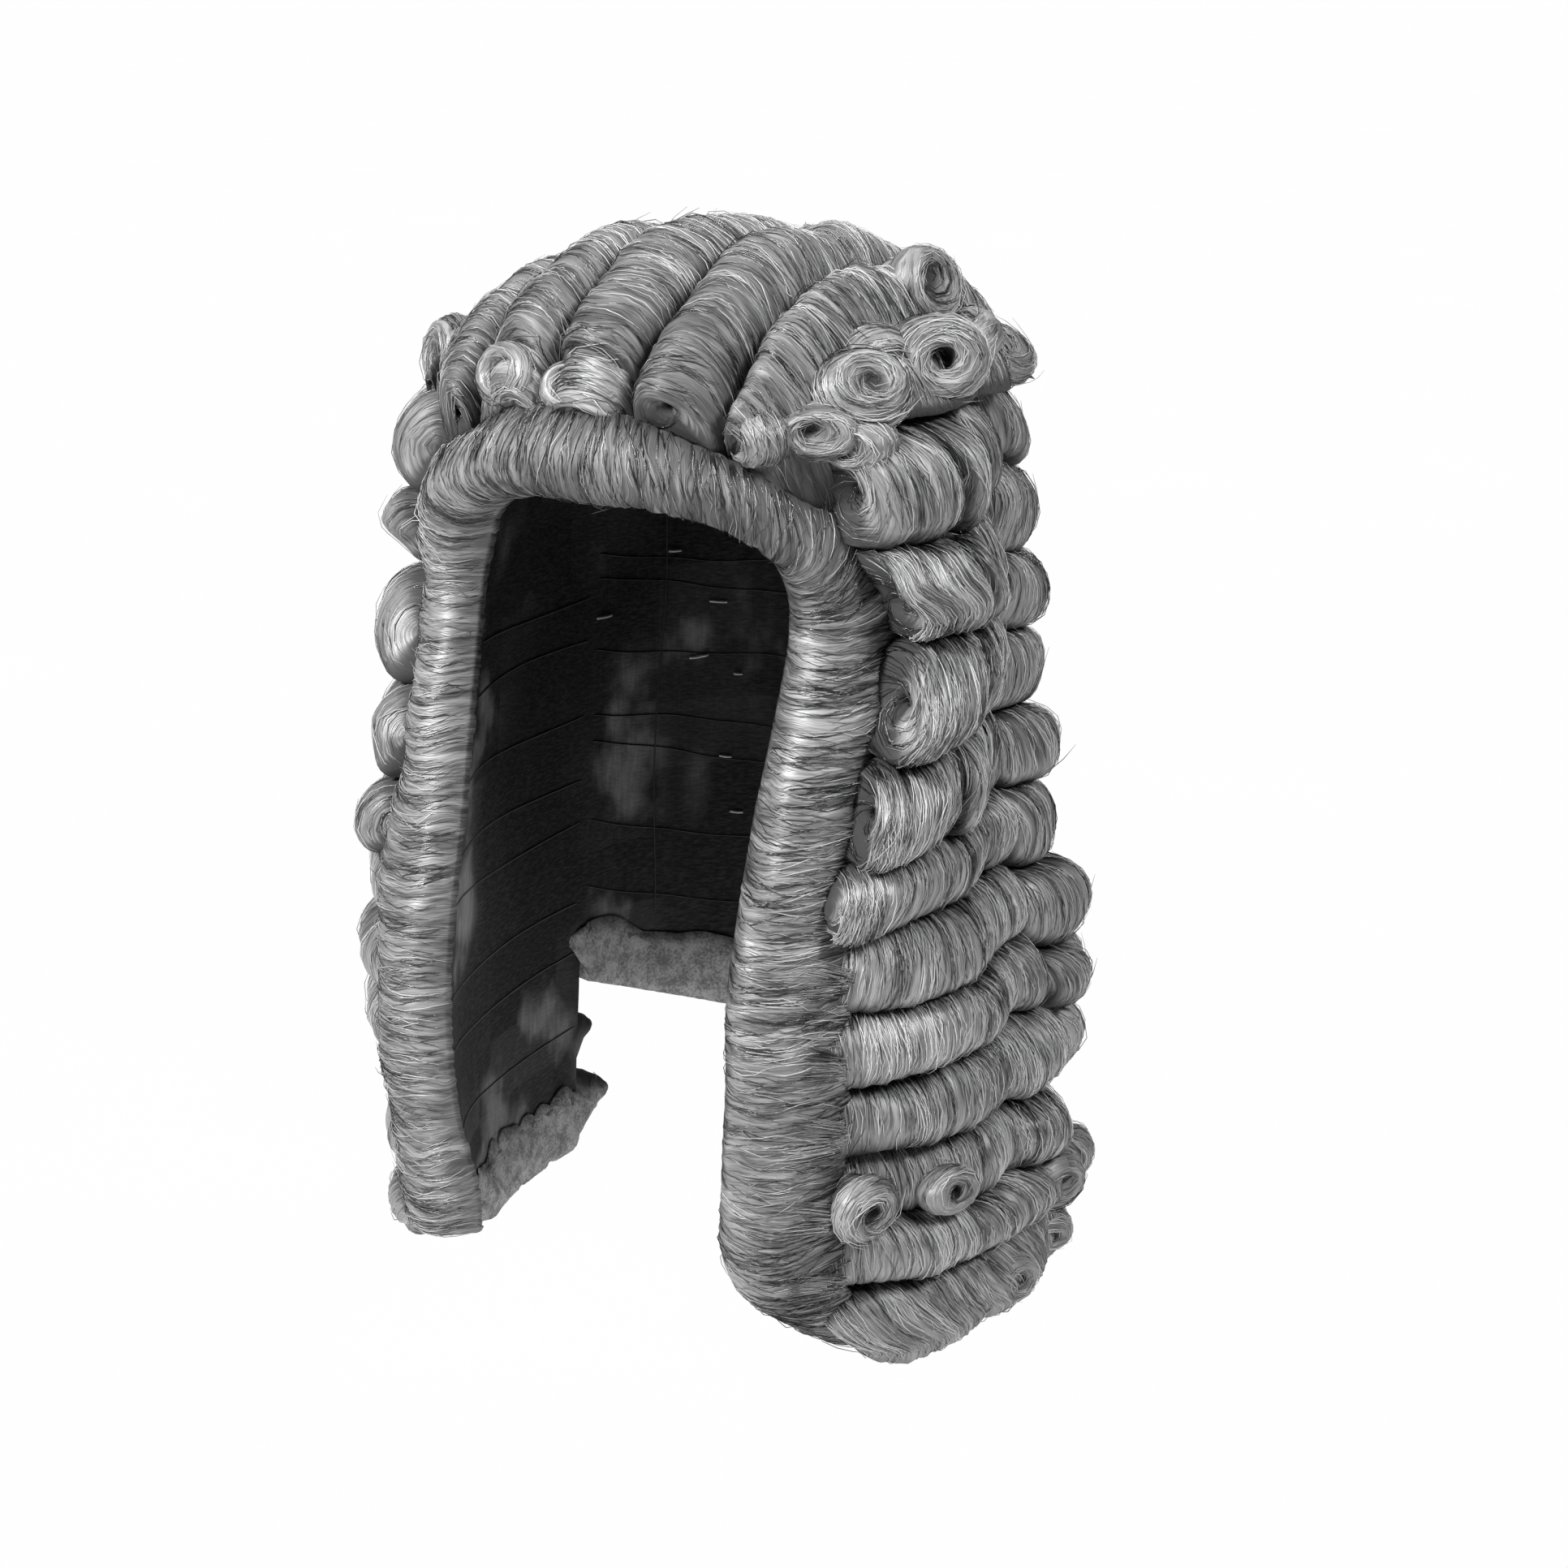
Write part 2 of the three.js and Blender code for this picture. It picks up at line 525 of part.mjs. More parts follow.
// The cap's wall on a grid of bearings and heights, whose face opening and slits are left out
function capLining() {
  const backColumns = 7;
  const sideColumns = 5;
  const browColumns = 8;
  const domeRows = 6;
  const upperRows = 9;
  const lappetRows = 4;
  const half = backColumns + sideColumns + browColumns;
  const columns = 2 * half;
  const foreheadRow = domeRows;
  const backEndRow = foreheadRow + upperRows;
  const lastRow = backEndRow + lappetRows;

  // How far a grid column lies along the brow's arch, and its bearing at a height
  const browTurn = (column) =>
    Math.max(Math.abs(column - half) - backColumns - sideColumns, 0) / browColumns;
  const bearingOf = (column, z) => {
    const steps = Math.abs(column - half);
    const sign = Math.sign(column - half);
    const edge = edgeBearing(Math.min(z, TEMPLE_CORNER));
    if (steps <= backColumns) return (sign * steps * SLIT_BEARING) / backColumns;
    const beyond = steps - backColumns;
    if (beyond <= sideColumns) {
      return sign * THREE.MathUtils.lerp(SLIT_BEARING, edge, beyond / sideColumns);
    }
    return sign * browEdge(browTurn(column))[0];
  };
  const heightOf = (row, column) => {
    const bearing = Math.abs(bearingOf(column, TEMPLE_CORNER));
    const brow = browEdge(browTurn(column))[1];
    if (row <= foreheadRow) {
      const turn = (row / foreheadRow) * Math.acos(Math.max(1 + brow / DOME_HEIGHT, -0.2));
      return row === foreheadRow ? brow : -DOME_HEIGHT * (1 - Math.cos(turn));
    }
    const backEnd = lifted(BACK_LINING_END, Math.min(bearing, SLIT_BEARING));
    if (row <= backEndRow) {
      return THREE.MathUtils.lerp(brow, backEnd, (row - foreheadRow) / upperRows);
    }
    const end = LAPPET_LINING_END + HALF_GAP;
    return THREE.MathUtils.lerp(backEnd, end, (row - backEndRow) / lappetRows);
  };
  const present = (row, column) => {
    if (row < 0 || row >= lastRow) return false;
    const steps = Math.abs(column + 0.5 - half);
    if (row >= foreheadRow && steps > backColumns + sideColumns) return false;
    return row < backEndRow || steps > backColumns;
  };

  const points = [];
  const known = new Map();
  const corner = (row, column, layer) => {
    const wrapped = row === 0 ? 0 : column % columns;
    const key = `${row} ${wrapped} ${layer}`;
    if (!known.has(key)) {
      const z = heightOf(row, column);
      const grown = layer * CAP_WALL;
      const point = hairPoint(bearingOf(column, z), z, grown);
      known.set(key, points.push(row === 0 ? new THREE.Vector3(0, 0, grown) : point) - 1);
    }
    return known.get(key);
  };
  const triangles = [];
  const quad = (a, b, c, d) => {
    for (const [p, q, r] of [[a, b, c], [a, c, d]]) {
      if (p !== q && q !== r && r !== p) triangles.push([p, q, r]);
    }
  };
  for (let row = 0; row < lastRow; row++) {
    for (let column = 0; column < columns; column++) {
      if (!present(row, column)) continue;
      const ring = [[row, column], [row, column + 1], [row + 1, column + 1], [row + 1, column]];
      quad(...ring.map(([r, c]) => corner(r, c, 1)));
      quad(...ring.map(([r, c]) => corner(r, c, 0)).reverse());
      const beside = [[row - 1, column], [row, column + 1], [row + 1, column], [row, column - 1]];
      beside.forEach(([r, c], side) => {
        if (r < 0 || present(r, (c + columns) % columns)) return;
        const [from, to] = [ring[side], ring[(side + 1) % 4]];
        quad(corner(...to, 1), corner(...from, 1), corner(...from, 0), corner(...to, 0));
      });
    }
  }
  return closedGeometry(points, triangles);
}

// Finishes and the assembly
const hairFinish = { color: 0x9a9a9a, roughness: 0.45, metalness: 0 };
const liningFinish = { color: 0x161616, roughness: 0.9, metalness: 0 };
const wig = new THREE.Group();

function addPiece(name, geometry, finish) {
  const mesh = new THREE.Mesh(geometry, new THREE.MeshStandardMaterial(finish));
  mesh.name = name;
  wig.add(mesh);
}

addPiece("cap_lining", capLining(), liningFinish);
addPiece("face_roll", faceRoll(), hairFinish);
for (const roll of CROWN_ROLLS) {
  addPiece(roll.name, crownRoll(roll), hairFinish);
}
for (const [word, side] of [["left", 1], ["right", -1]]) {
  SIDE_ROWS.forEach((row, i) => {
    const bottom = i + 1 < SIDE_ROWS.length ? SIDE_ROWS[i + 1].top : LAPPET_LINING_END;
    const number = String(i + 1).padStart(2, "0");
    addPiece(`${word}_curl_row_${number}`, sideRow(side, row.top, bottom, CURL_START, row), hairFinish);
  });
  const hem = sideRow(side, LAPPET_LINING_END, LAPPET_HEM, -CAP_WALL, LAPPET_HEM_ROW, HEM_DROOP);
  addPiece(`${word}_hem_roll`, hem, hairFinish);
}
for (const ring of RING_CURLS) {
  addPiece(`left_ring_curl_${ring.number}`, ringCurl(ring), hairFinish);
}
BACK_ROWS.forEach((row, i) => {
  const bottom = i + 1 < BACK_ROWS.length ? BACK_ROWS[i + 1].top : BACK_LINING_END;
  addPiece(`back_curl_row_${i + 1}`, backRow(row.top, bottom, CURL_START, row), hairFinish);
});
addPiece("back_hem_roll", backRow(BACK_LINING_END, BACK_HEM, -CAP_WALL, BACK_HEM_ROW), hairFinish);

export default wig;
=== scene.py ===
"""A full-bottomed ceremonial wig: rows of curled grey hair on a dark cap, in metres.

The origin is the inside of the crown, +Z is up, the face looks along -Y and the wearer's left is
+X. Forms are worked out in millimetres in one layered space around the cap: a bearing (0 at the
back of the head, 180 at the forehead), a height, and how far the hair has grown out of the cap.
"""

import logging
import math
from dataclasses import dataclass, field, replace
from enum import Enum
from itertools import product
from typing import Any, ClassVar, Sequence

import bpy
import numpy as np
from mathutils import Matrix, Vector
from numpy.typing import ArrayLike, NDArray


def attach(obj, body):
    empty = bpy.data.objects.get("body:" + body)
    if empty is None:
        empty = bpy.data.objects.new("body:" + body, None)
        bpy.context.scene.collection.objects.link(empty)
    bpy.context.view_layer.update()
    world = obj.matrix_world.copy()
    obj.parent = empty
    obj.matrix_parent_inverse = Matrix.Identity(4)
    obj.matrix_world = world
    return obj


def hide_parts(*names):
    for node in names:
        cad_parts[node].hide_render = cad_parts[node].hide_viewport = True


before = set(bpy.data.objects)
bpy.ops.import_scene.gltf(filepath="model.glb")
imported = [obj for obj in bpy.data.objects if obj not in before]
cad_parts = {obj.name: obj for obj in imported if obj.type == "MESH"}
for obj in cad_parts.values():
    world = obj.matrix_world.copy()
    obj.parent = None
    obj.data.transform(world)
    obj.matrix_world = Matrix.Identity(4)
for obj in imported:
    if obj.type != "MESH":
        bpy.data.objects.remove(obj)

Array = NDArray[np.float64]
Sockets = dict[int | str, Any]
LOG = logging.getLogger("wig")
MM = 0.001
UV_UNIT = 10.0

CAP_WALL = 2.0
PIECE_GAP = 1.0
HALF_GAP = PIECE_GAP / 2
CURL_START = CAP_WALL + PIECE_GAP
DOME_HEIGHT = 85.0
PLAN_POWER = 2.4
CROWN_BASE = -34.0
FOREHEAD_EDGE = -62.0
TEMPLE_CORNER = -114.0
BREAST = -240.0
LAPPET_LINING_END = -397.0
LAPPET_HEM = -427.0
BACK_LINING_END = -342.0
BACK_HEM = -375.0
BACK_LIFT = 0.1
SLIT_BEARING = 83.0
FACE_ROLL_WIDTH = 36.0
FACE_ROLL_TIP_WIDTH = 20.0
FACE_ROLL_DEPTH = 30.0
FACE_ROLL_TIP_DEPTH = 28.0
TEMPLE_FRONT = -70.0
BROW_POWER = 1.5
SECOND_ROW = -80.0
REAR_SLANT = 15.0
HEM_DROOP = 12.0
PIVOT_HEIGHT = -260.0
REACH_LIMIT = 400.0
REACH_STEPS = 34
SPREAD_LIMIT = 200.0
SPREAD_STEPS = 24
ROW_GROWTH = 10.0
DRIFT_SPAN = (4.0, 22.0)
FACE_DRIFT = 0.8
TINY = 1e-6
LEAST_LENGTH = 1e-9


def lerp(start: ArrayLike, end: ArrayLike, share: ArrayLike) -> Array:
    """Returns the value a share of the way from start to end."""
    return np.asarray(start) + (np.asarray(end) - np.asarray(start)) * np.asarray(share)


def smoothstep(value: ArrayLike, low: float, high: float) -> Array:
    """Returns 0 below low, 1 above high and a smooth rise between."""
    t = np.clip((np.asarray(value, float) - low) / (high - low), 0.0, 1.0)
    return t * t * (3.0 - 2.0 * t)


def smooth_curve(knots: ArrayLike, values: ArrayLike, where: ArrayLike) -> Array:
    """Evaluates a smooth curve through table rows.

    Args:
        knots: Rising positions of the rows.
        values: Value of each row.
        where: Positions to evaluate, held inside the table.

    Returns:
        The curve's values, in the shape of where.
    """
    xs, ys, x = np.asarray(knots, float), np.asarray(values, float), np.asarray(where, float)
    last = len(xs) - 1
    i = np.clip(np.searchsorted(xs, x, side="left") - 1, 0, last - 1)
    before, after = np.maximum(i - 1, 0), np.minimum(i + 2, last)
    span = xs[i + 1] - xs[i]
    t = np.clip((x - xs[i]) / span, 0.0, 1.0)
    slope_from = span * (ys[i + 1] - ys[before]) / (xs[i + 1] - xs[before])
    slope_to = span * (ys[after] - ys[i]) / (xs[after] - xs[i])
    t2, t3 = t * t, t * t * t
    return (
        (2 * t3 - 3 * t2 + 1) * ys[i]
        + (t3 - 2 * t2 + t) * slope_from
        + (3 * t2 - 2 * t3) * ys[i + 1]
        + (t3 - t2) * slope_to
    )


def unit(vectors: Array) -> Array:
    """Returns the vectors at length one."""
    return vectors / np.maximum(np.linalg.norm(vectors, axis=-1, keepdims=True), LEAST_LENGTH)


def run_lengths(points: Array) -> Array:
    """Returns the distance along a line of points from its start to each of them."""
    return np.concatenate([[0], np.cumsum(np.linalg.norm(np.diff(points, axis=0), axis=-1))])


def write_values(mesh: bpy.types.Mesh, name: str, blocks: Sequence[Array]) -> None:
    """Stores a value for each point of a mesh under a name."""
    attribute = mesh.attributes.new(name, "FLOAT", "POINT")
    attribute.data.foreach_set("value", np.concatenate(blocks).astype(np.float32))


def place(name: str, data: bpy.types.ID) -> bpy.types.Object:
    """Makes an object and links it to the scene.

    Args:
        name: Name of the object.
        data: Its mesh, light or camera.

    Returns:
        The object.
    """
    made = bpy.data.objects.new(name, data)
    bpy.context.scene.collection.objects.link(made)
    return made


class Side(Enum):
    """The wearer's sides, as the sign of X."""

    LEFT = 1
    RIGHT = -1

    @property
    def word(self) -> str:
        """The side's name in piece names."""
        return self.name.lower()


class EndStyle(Enum):
    """How the end of a roll of hair is turned in."""

    HOLLOW = "a coil around an open hollow"
    EYE = "a coil that stands out to an eye"
    SOFT = "a plain rounded end"


@dataclass(frozen=True)
class PlanRow:
    """The cap's plan at one height, in millimetres."""

    z: float
    half_width: float
    back: float
    front: float
    opening: float


CAP_PLAN = (
    PlanRow(z=-427, half_width=106, back=112, front=126, opening=90),
    PlanRow(z=-384, half_width=105, back=111, front=136, opening=68),
    PlanRow(z=-340, half_width=102, back=110, front=152, opening=70),
    PlanRow(z=-300, half_width=100, back=109, front=158, opening=72),
    PlanRow(z=-260, half_width=97, back=108, front=156, opening=71),
    PlanRow(z=-200, half_width=92, back=106, front=145, opening=72),
    PlanRow(z=-150, half_width=88, back=105, front=142, opening=75),
    PlanRow(z=-114, half_width=86, back=104, front=138, opening=76),
    PlanRow(z=-85, half_width=84, back=104, front=116, opening=70),
    PlanRow(z=-60, half_width=84, back=104, front=104, opening=66),
    PlanRow(z=60, half_width=84, back=104, front=102, opening=66),
)


class CapForm:
    """The layered space around the cap, in millimetres."""

    def column(self, name: str, z: ArrayLike) -> Array:
        """Returns a plan column's value at heights z."""
        return smooth_curve([r.z for r in CAP_PLAN], [getattr(r, name) for r in CAP_PLAN], z)

    def _dome_share(self, z: Array, grown: Array) -> Array:
        """Returns the share of the plan that the grown dome leaves at heights z."""
        rise = np.clip((z + DOME_HEIGHT) / (DOME_HEIGHT + grown), 0.0, 1.0)
        return np.sqrt(1.0 - rise * rise)

    def point(self, bearing: ArrayLike, z: ArrayLike, grown: ArrayLike) -> Array:
        """Places points of the layered space.

        Args:
            bearing: Degrees round the head, 0 behind and 180 at the forehead.
            z: Heights.
            grown: Distance out of the cap.

        Returns:
            Points with X, Y and Z on the last axis.
        """
        b, z, grown = np.broadcast_arrays(*(np.asarray(v, float) for v in (bearing, z, grown)))
        share = self._dome_share(z, grown)
        sine, cosine = np.sin(np.radians(b)), np.cos(np.radians(b))
        power = 2.0 / PLAN_POWER
        depth = np.where(cosine > 0, self.column("back", z), self.column("front", z))
        x = share * (self.column("half_width", z) + grown) * np.sign(sine) * np.abs(sine) ** power
        y = share * (depth + grown) * np.sign(cosine) * np.abs(cosine) ** power
        return np.stack([x, y, z], axis=-1)

    def edge_bearing(self, z: ArrayLike) -> Array:
        """Returns the bearing of the face opening's edge at heights z."""
        share = np.minimum(self.column("opening", z) / self.column("half_width", z), 1.0)
        return 180.0 - np.degrees(np.arcsin(share ** (PLAN_POWER / 2)))

    def bearings_for(self, length: ArrayLike, z: ArrayLike) -> Array:
        """Measures a length at the opening's edge in degrees of bearing.

        Args:
            length: Length along the cap.
            z: Heights.

        Returns:
            The degrees that cover it.
        """
        edge = self.edge_bearing(z)
        step = np.linalg.norm(self.point(edge, z, 0) - self.point(edge - 1, z, 0), axis=-1)
        return np.asarray(length) / step

    def curl_bearing(self, z: ArrayLike) -> Array:
        """Finds the border where the face roll ends and the curls begin.

        Args:
            z: Heights.

        Returns:
            Bearing of the border at each height.
        """
        z = np.asarray(z, float)
        level = np.minimum(z, TEMPLE_CORNER)
        to_tip = smoothstep(z, LAPPET_HEM, LAPPET_LINING_END + 30)
        width = lerp(FACE_ROLL_TIP_WIDTH, FACE_ROLL_WIDTH, to_tip)
        side = self.edge_bearing(level) - self.bearings_for(width, level)
        climb = np.clip((z - TEMPLE_CORNER) / (CROWN_BASE - TEMPLE_CORNER), 0, 1)
        return 180.0 - (180.0 - side) * (1 - climb**BROW_POWER) ** (1 / BROW_POWER)

    def brow_border(self, bearing: ArrayLike) -> Array:
        """Finds how high that border runs over the brow.

        Args:
            bearing: Bearings.

        Returns:
            Height of the border at each bearing.
        """
        aside = (180.0 - np.asarray(bearing)) / (180.0 - self.curl_bearing(TEMPLE_CORNER))
        climb = (1 - np.clip(aside, 0, 1) ** BROW_POWER) ** (1 / BROW_POWER)
        return lerp(TEMPLE_CORNER, CROWN_BASE, climb)

    def temple_bearing(self, z: Array, grown: Array) -> Array:
        """Finds the upright plane before the temples.

        Args:
            z: Heights.
            grown: Distance out of the cap.

        Returns:
            Bearing of the plane at each place.
        """
        reach = self._dome_share(z, grown) * (self.column("front", z) + grown)
        share = np.minimum((-TEMPLE_FRONT - HALF_GAP) / np.maximum(reach, TINY), 1.0)
        return 180.0 - np.degrees(np.arccos(share ** (PLAN_POWER / 2)))

    def brow_edge(self, turn: ArrayLike) -> tuple[Array, Array]:
        """Follows the brow's arch.

        Args:
            turn: Place on the arch, from a temple at 0 to the middle at 1.

        Returns:
            Bearing and height of each place.
        """
        a = 0.5 * math.pi * (1.0 - np.asarray(turn, float))
        bearing = 180.0 - (180.0 - self.edge_bearing(TEMPLE_CORNER)) * np.sin(a)
        return bearing, TEMPLE_CORNER + (FOREHEAD_EDGE - TEMPLE_CORNER) * np.cos(a)

    def lifted(self, z: ArrayLike, bearing: ArrayLike) -> Array:
        """Returns heights on the back, which rise towards the slits."""
        return np.asarray(z) * (1.0 - BACK_LIFT * (np.asarray(bearing) / SLIT_BEARING) ** 2)

    def dome_reach(self, x: ArrayLike, tilt: ArrayLike, grown: ArrayLike) -> Array:
        """Measures the dome from the crown's pivot line.

        Args:
            x: Distance beside the middle plane.
            tilt: Angle from upright in the YZ plane, in radians.
            grown: How far the dome has grown.

        Returns:
            Distance from the pivot line to the grown dome.
        """
        x, tilt, grown = np.broadcast_arrays(*(np.asarray(v, float) for v in (x, tilt, grown)))
        low, high = np.zeros(x.shape), np.full(x.shape, REACH_LIMIT)
        for _ in range(REACH_STEPS):
            middle = (low + high) / 2
            y, z = middle * np.sin(tilt), PIVOT_HEIGHT + middle * np.cos(tilt)
            depth = np.where(y > 0, self.column("back", z), self.column("front", z)) + grown
            across = (np.abs(x) / (self.column("half_width", z) + grown)) ** PLAN_POWER
            plan = (across + (np.abs(y) / depth) ** PLAN_POWER) ** (2 / PLAN_POWER)
            inside = plan + (np.maximum(z + DOME_HEIGHT, 0) / (DOME_HEIGHT + grown)) ** 2 < 1
            low, high = np.where(inside, middle, low), np.where(inside, high, middle)
        return low

    def crown_floor(self, x: ArrayLike, tilt: ArrayLike) -> Array:
        """Measures what a crown roll stands on: the rows beside it and the face roll before it.

        Args:
            x: Distance beside the middle plane.
            tilt: Angle from upright in the YZ plane, in radians.

        Returns:
            Distance from the pivot line to the floor.
        """
        x, tilt = np.broadcast_arrays(np.asarray(x, float), np.asarray(tilt, float))
        level = (CROWN_BASE + HALF_GAP - PIVOT_HEIGHT) / np.cos(tilt)
        low, high = np.zeros(x.shape), level.copy()
        for _ in range(REACH_STEPS):
            middle = (low + high) / 2
            y, z = middle * np.sin(tilt), PIVOT_HEIGHT + middle * np.cos(tilt)
            across = np.abs(x) / (self.column("half_width", z) + ROW_GROWTH)
            along = np.maximum(np.abs(y) / (self.column("front", z) + ROW_GROWTH), TINY)
            aside = np.degrees(np.arctan((across / along) ** (PLAN_POWER / 2)))
            border = np.maximum(self.brow_border(180.0 - aside), SECOND_ROW) + PIECE_GAP
            free = (y < TEMPLE_FRONT - HALF_GAP) & (z > border)
            low, high = np.where(free, low, middle), np.where(free, middle, high)
        return np.where(tilt >= 0, level, high)

    def dome_spread(self, tilt: Array, grown: Array, floor: Array) -> Array:
        """Measures how far a crown roll may spread sideways and still stand on the dome.

        Args:
            tilt: Angles from upright in the YZ plane, in radians.
            grown: How far the dome has grown at each angle.
            floor: Distance from the pivot line to the roll's floor.

        Returns:
            Greatest distance beside the middle plane at each angle.
        """
        low, high = np.zeros(tilt.shape), np.full(tilt.shape, SPREAD_LIMIT)
        for _ in range(SPREAD_STEPS):
            middle = (low + high) / 2
            stands = self.dome_reach(middle, tilt, grown) > floor
            low, high = np.where(stands, middle, low), np.where(stands, high, middle)
        return low


class Noise:
    """Smooth seeded noise from -1 to 1 on a square lattice."""

    SIZE = 256

    def __init__(self, seed: int) -> None:
        """Fills the lattice from a seed."""
        self.table = np.random.default_rng(seed).uniform(-1, 1, (self.SIZE, self.SIZE))

    def at(self, x: ArrayLike, y: ArrayLike) -> Array:
        """Looks up the noise.

        Args:
            x: Positions along one axis, in lattice steps.
            y: Positions along the other.

        Returns:
            The noise at each position.
        """
        x, y = np.broadcast_arrays(np.asarray(x, float), np.asarray(y, float))
        i, j = np.floor(x).astype(int), np.floor(y).astype(int)
        tx, ty = x - i, y - j
        tx, ty = tx * tx * (3 - 2 * tx), ty * ty * (3 - 2 * ty)
        i0, i1, j0, j1 = (k % self.SIZE for k in (i, i + 1, j, j + 1))
        near = lerp(self.table[i0, j0], self.table[i1, j0], tx)
        far = lerp(self.table[i0, j1], self.table[i1, j1], tx)
        return lerp(near, far, ty)


class Drift:
    """A slow wander of the whole head of hair, so that no row runs quite straight."""

    WAVES = ((46.0, 4.6), (19.0, 2.3))
    NEAR_OFFSET = 60
    FAR_OFFSET = 90
    SHARE = 0.7

    def __init__(self, seed: int = 11) -> None:
        """Prepares the noise planes."""
        self.planes = [Noise(seed + k) for k in range(6)]

    def moved(self, points: Array, share: ArrayLike) -> Array:
        """Moves points, all pieces alike.

        Args:
            points: Points in millimetres.
            share: How freely each point moves, from 0 at the cap to 1 outside.

        Returns:
            The moved points.
        """
        x, y, z = (points[..., k] for k in range(3))
        total = np.zeros(points.shape)
        for size, reach in self.WAVES:
            for axis, (a, b, c) in enumerate(((y, z, x), (z, x, y), (x, y, z))):
                a, b, c = a / size, b / size, c / size
                near = self.planes[axis].at(a + self.NEAR_OFFSET, b + self.NEAR_OFFSET)
                far = self.planes[axis + 3].at(b + self.FAR_OFFSET, c + self.FAR_OFFSET)
                total[..., axis] += reach * self.SHARE * (near + far)
        return points + total * np.asarray(share)[..., None]


DRIFT = Drift()


@dataclass(frozen=True)
class Comb:
    """How the hair of a piece is combed, in millimetres.

    Attributes:
        wisp: Mean width of a wisp.
        wisp_rise: How far a wisp stands above the crease beside it.
        strand: Width of the finest ridge.
        strand_rise: Height of the ridges.
        sway: How far the hair wanders sideways along its length.
        seed: Seed of the pattern.
        WIDTHS: Least and greatest width of a wisp, as shares of the mean.
        HEIGHTS: Least and greatest rise of a wisp, as shares of its usual rise.
        CREASE: Share of the rise that lies at the hair's mean surface.
        COARSE: Width of a coarse ridge against the finest.
    """

    wisp: float = 6.5
    wisp_rise: float = 1.1
    strand: float = 1.35
    strand_rise: float = 0.3
    sway: float = 3.5
    seed: int = 1
    WIDTHS: ClassVar[tuple[float, float]] = (0.45, 1.55)
    HEIGHTS: ClassVar[tuple[float, float]] = (0.45, 1.3)
    CREASE: ClassVar[float] = 0.7
    COARSE: ClassVar[float] = 2.3

    def relief(self, across: Array, along: Array) -> tuple[Array, Array]:
        """Raises wisps and strands.

        Args:
            across: Position across the hair.
            along: Position along the hair.

        Returns:
            The rise in millimetres, and a tone of painted shade in creases and painted light on
            ridges, -1 to 1.
        """
        rng = np.random.default_rng(self.seed)
        noise = Noise(self.seed)
        where = across + self.sway * noise.at(across / 26, along / 38)
        start = float(where.min()) - 20
        count = int((float(where.max()) - start) / self.wisp * 1.8) + 12
        bounds = start + np.cumsum(self.wisp * rng.uniform(*self.WIDTHS, count))
        heights = rng.uniform(*self.HEIGHTS, count)
        i = np.clip(np.searchsorted(bounds, where) - 1, 0, count - 2)
        t = np.clip((where - bounds[i]) / (bounds[i + 1] - bounds[i]), 0, 1)
        wisp = np.sqrt(np.clip(1 - (2 * t - 1) ** 2, 0, 1)) * heights[i]
        coarse = noise.at(where / (self.COARSE * self.strand) + 40, along / 45)
        fine = noise.at(where / self.strand + 90, along / 28)
        strands = 0.6 * coarse + 0.7 * fine
        rise = self.wisp_rise * (wisp - self.CREASE) + self.strand_rise * strands
        # The tone follows the rise: painted shade in the creases, painted light on the ridges.
        tone = np.clip(0.9 * (wisp - self.CREASE) + 0.6 * strands, -1, 1)
        return rise, tone


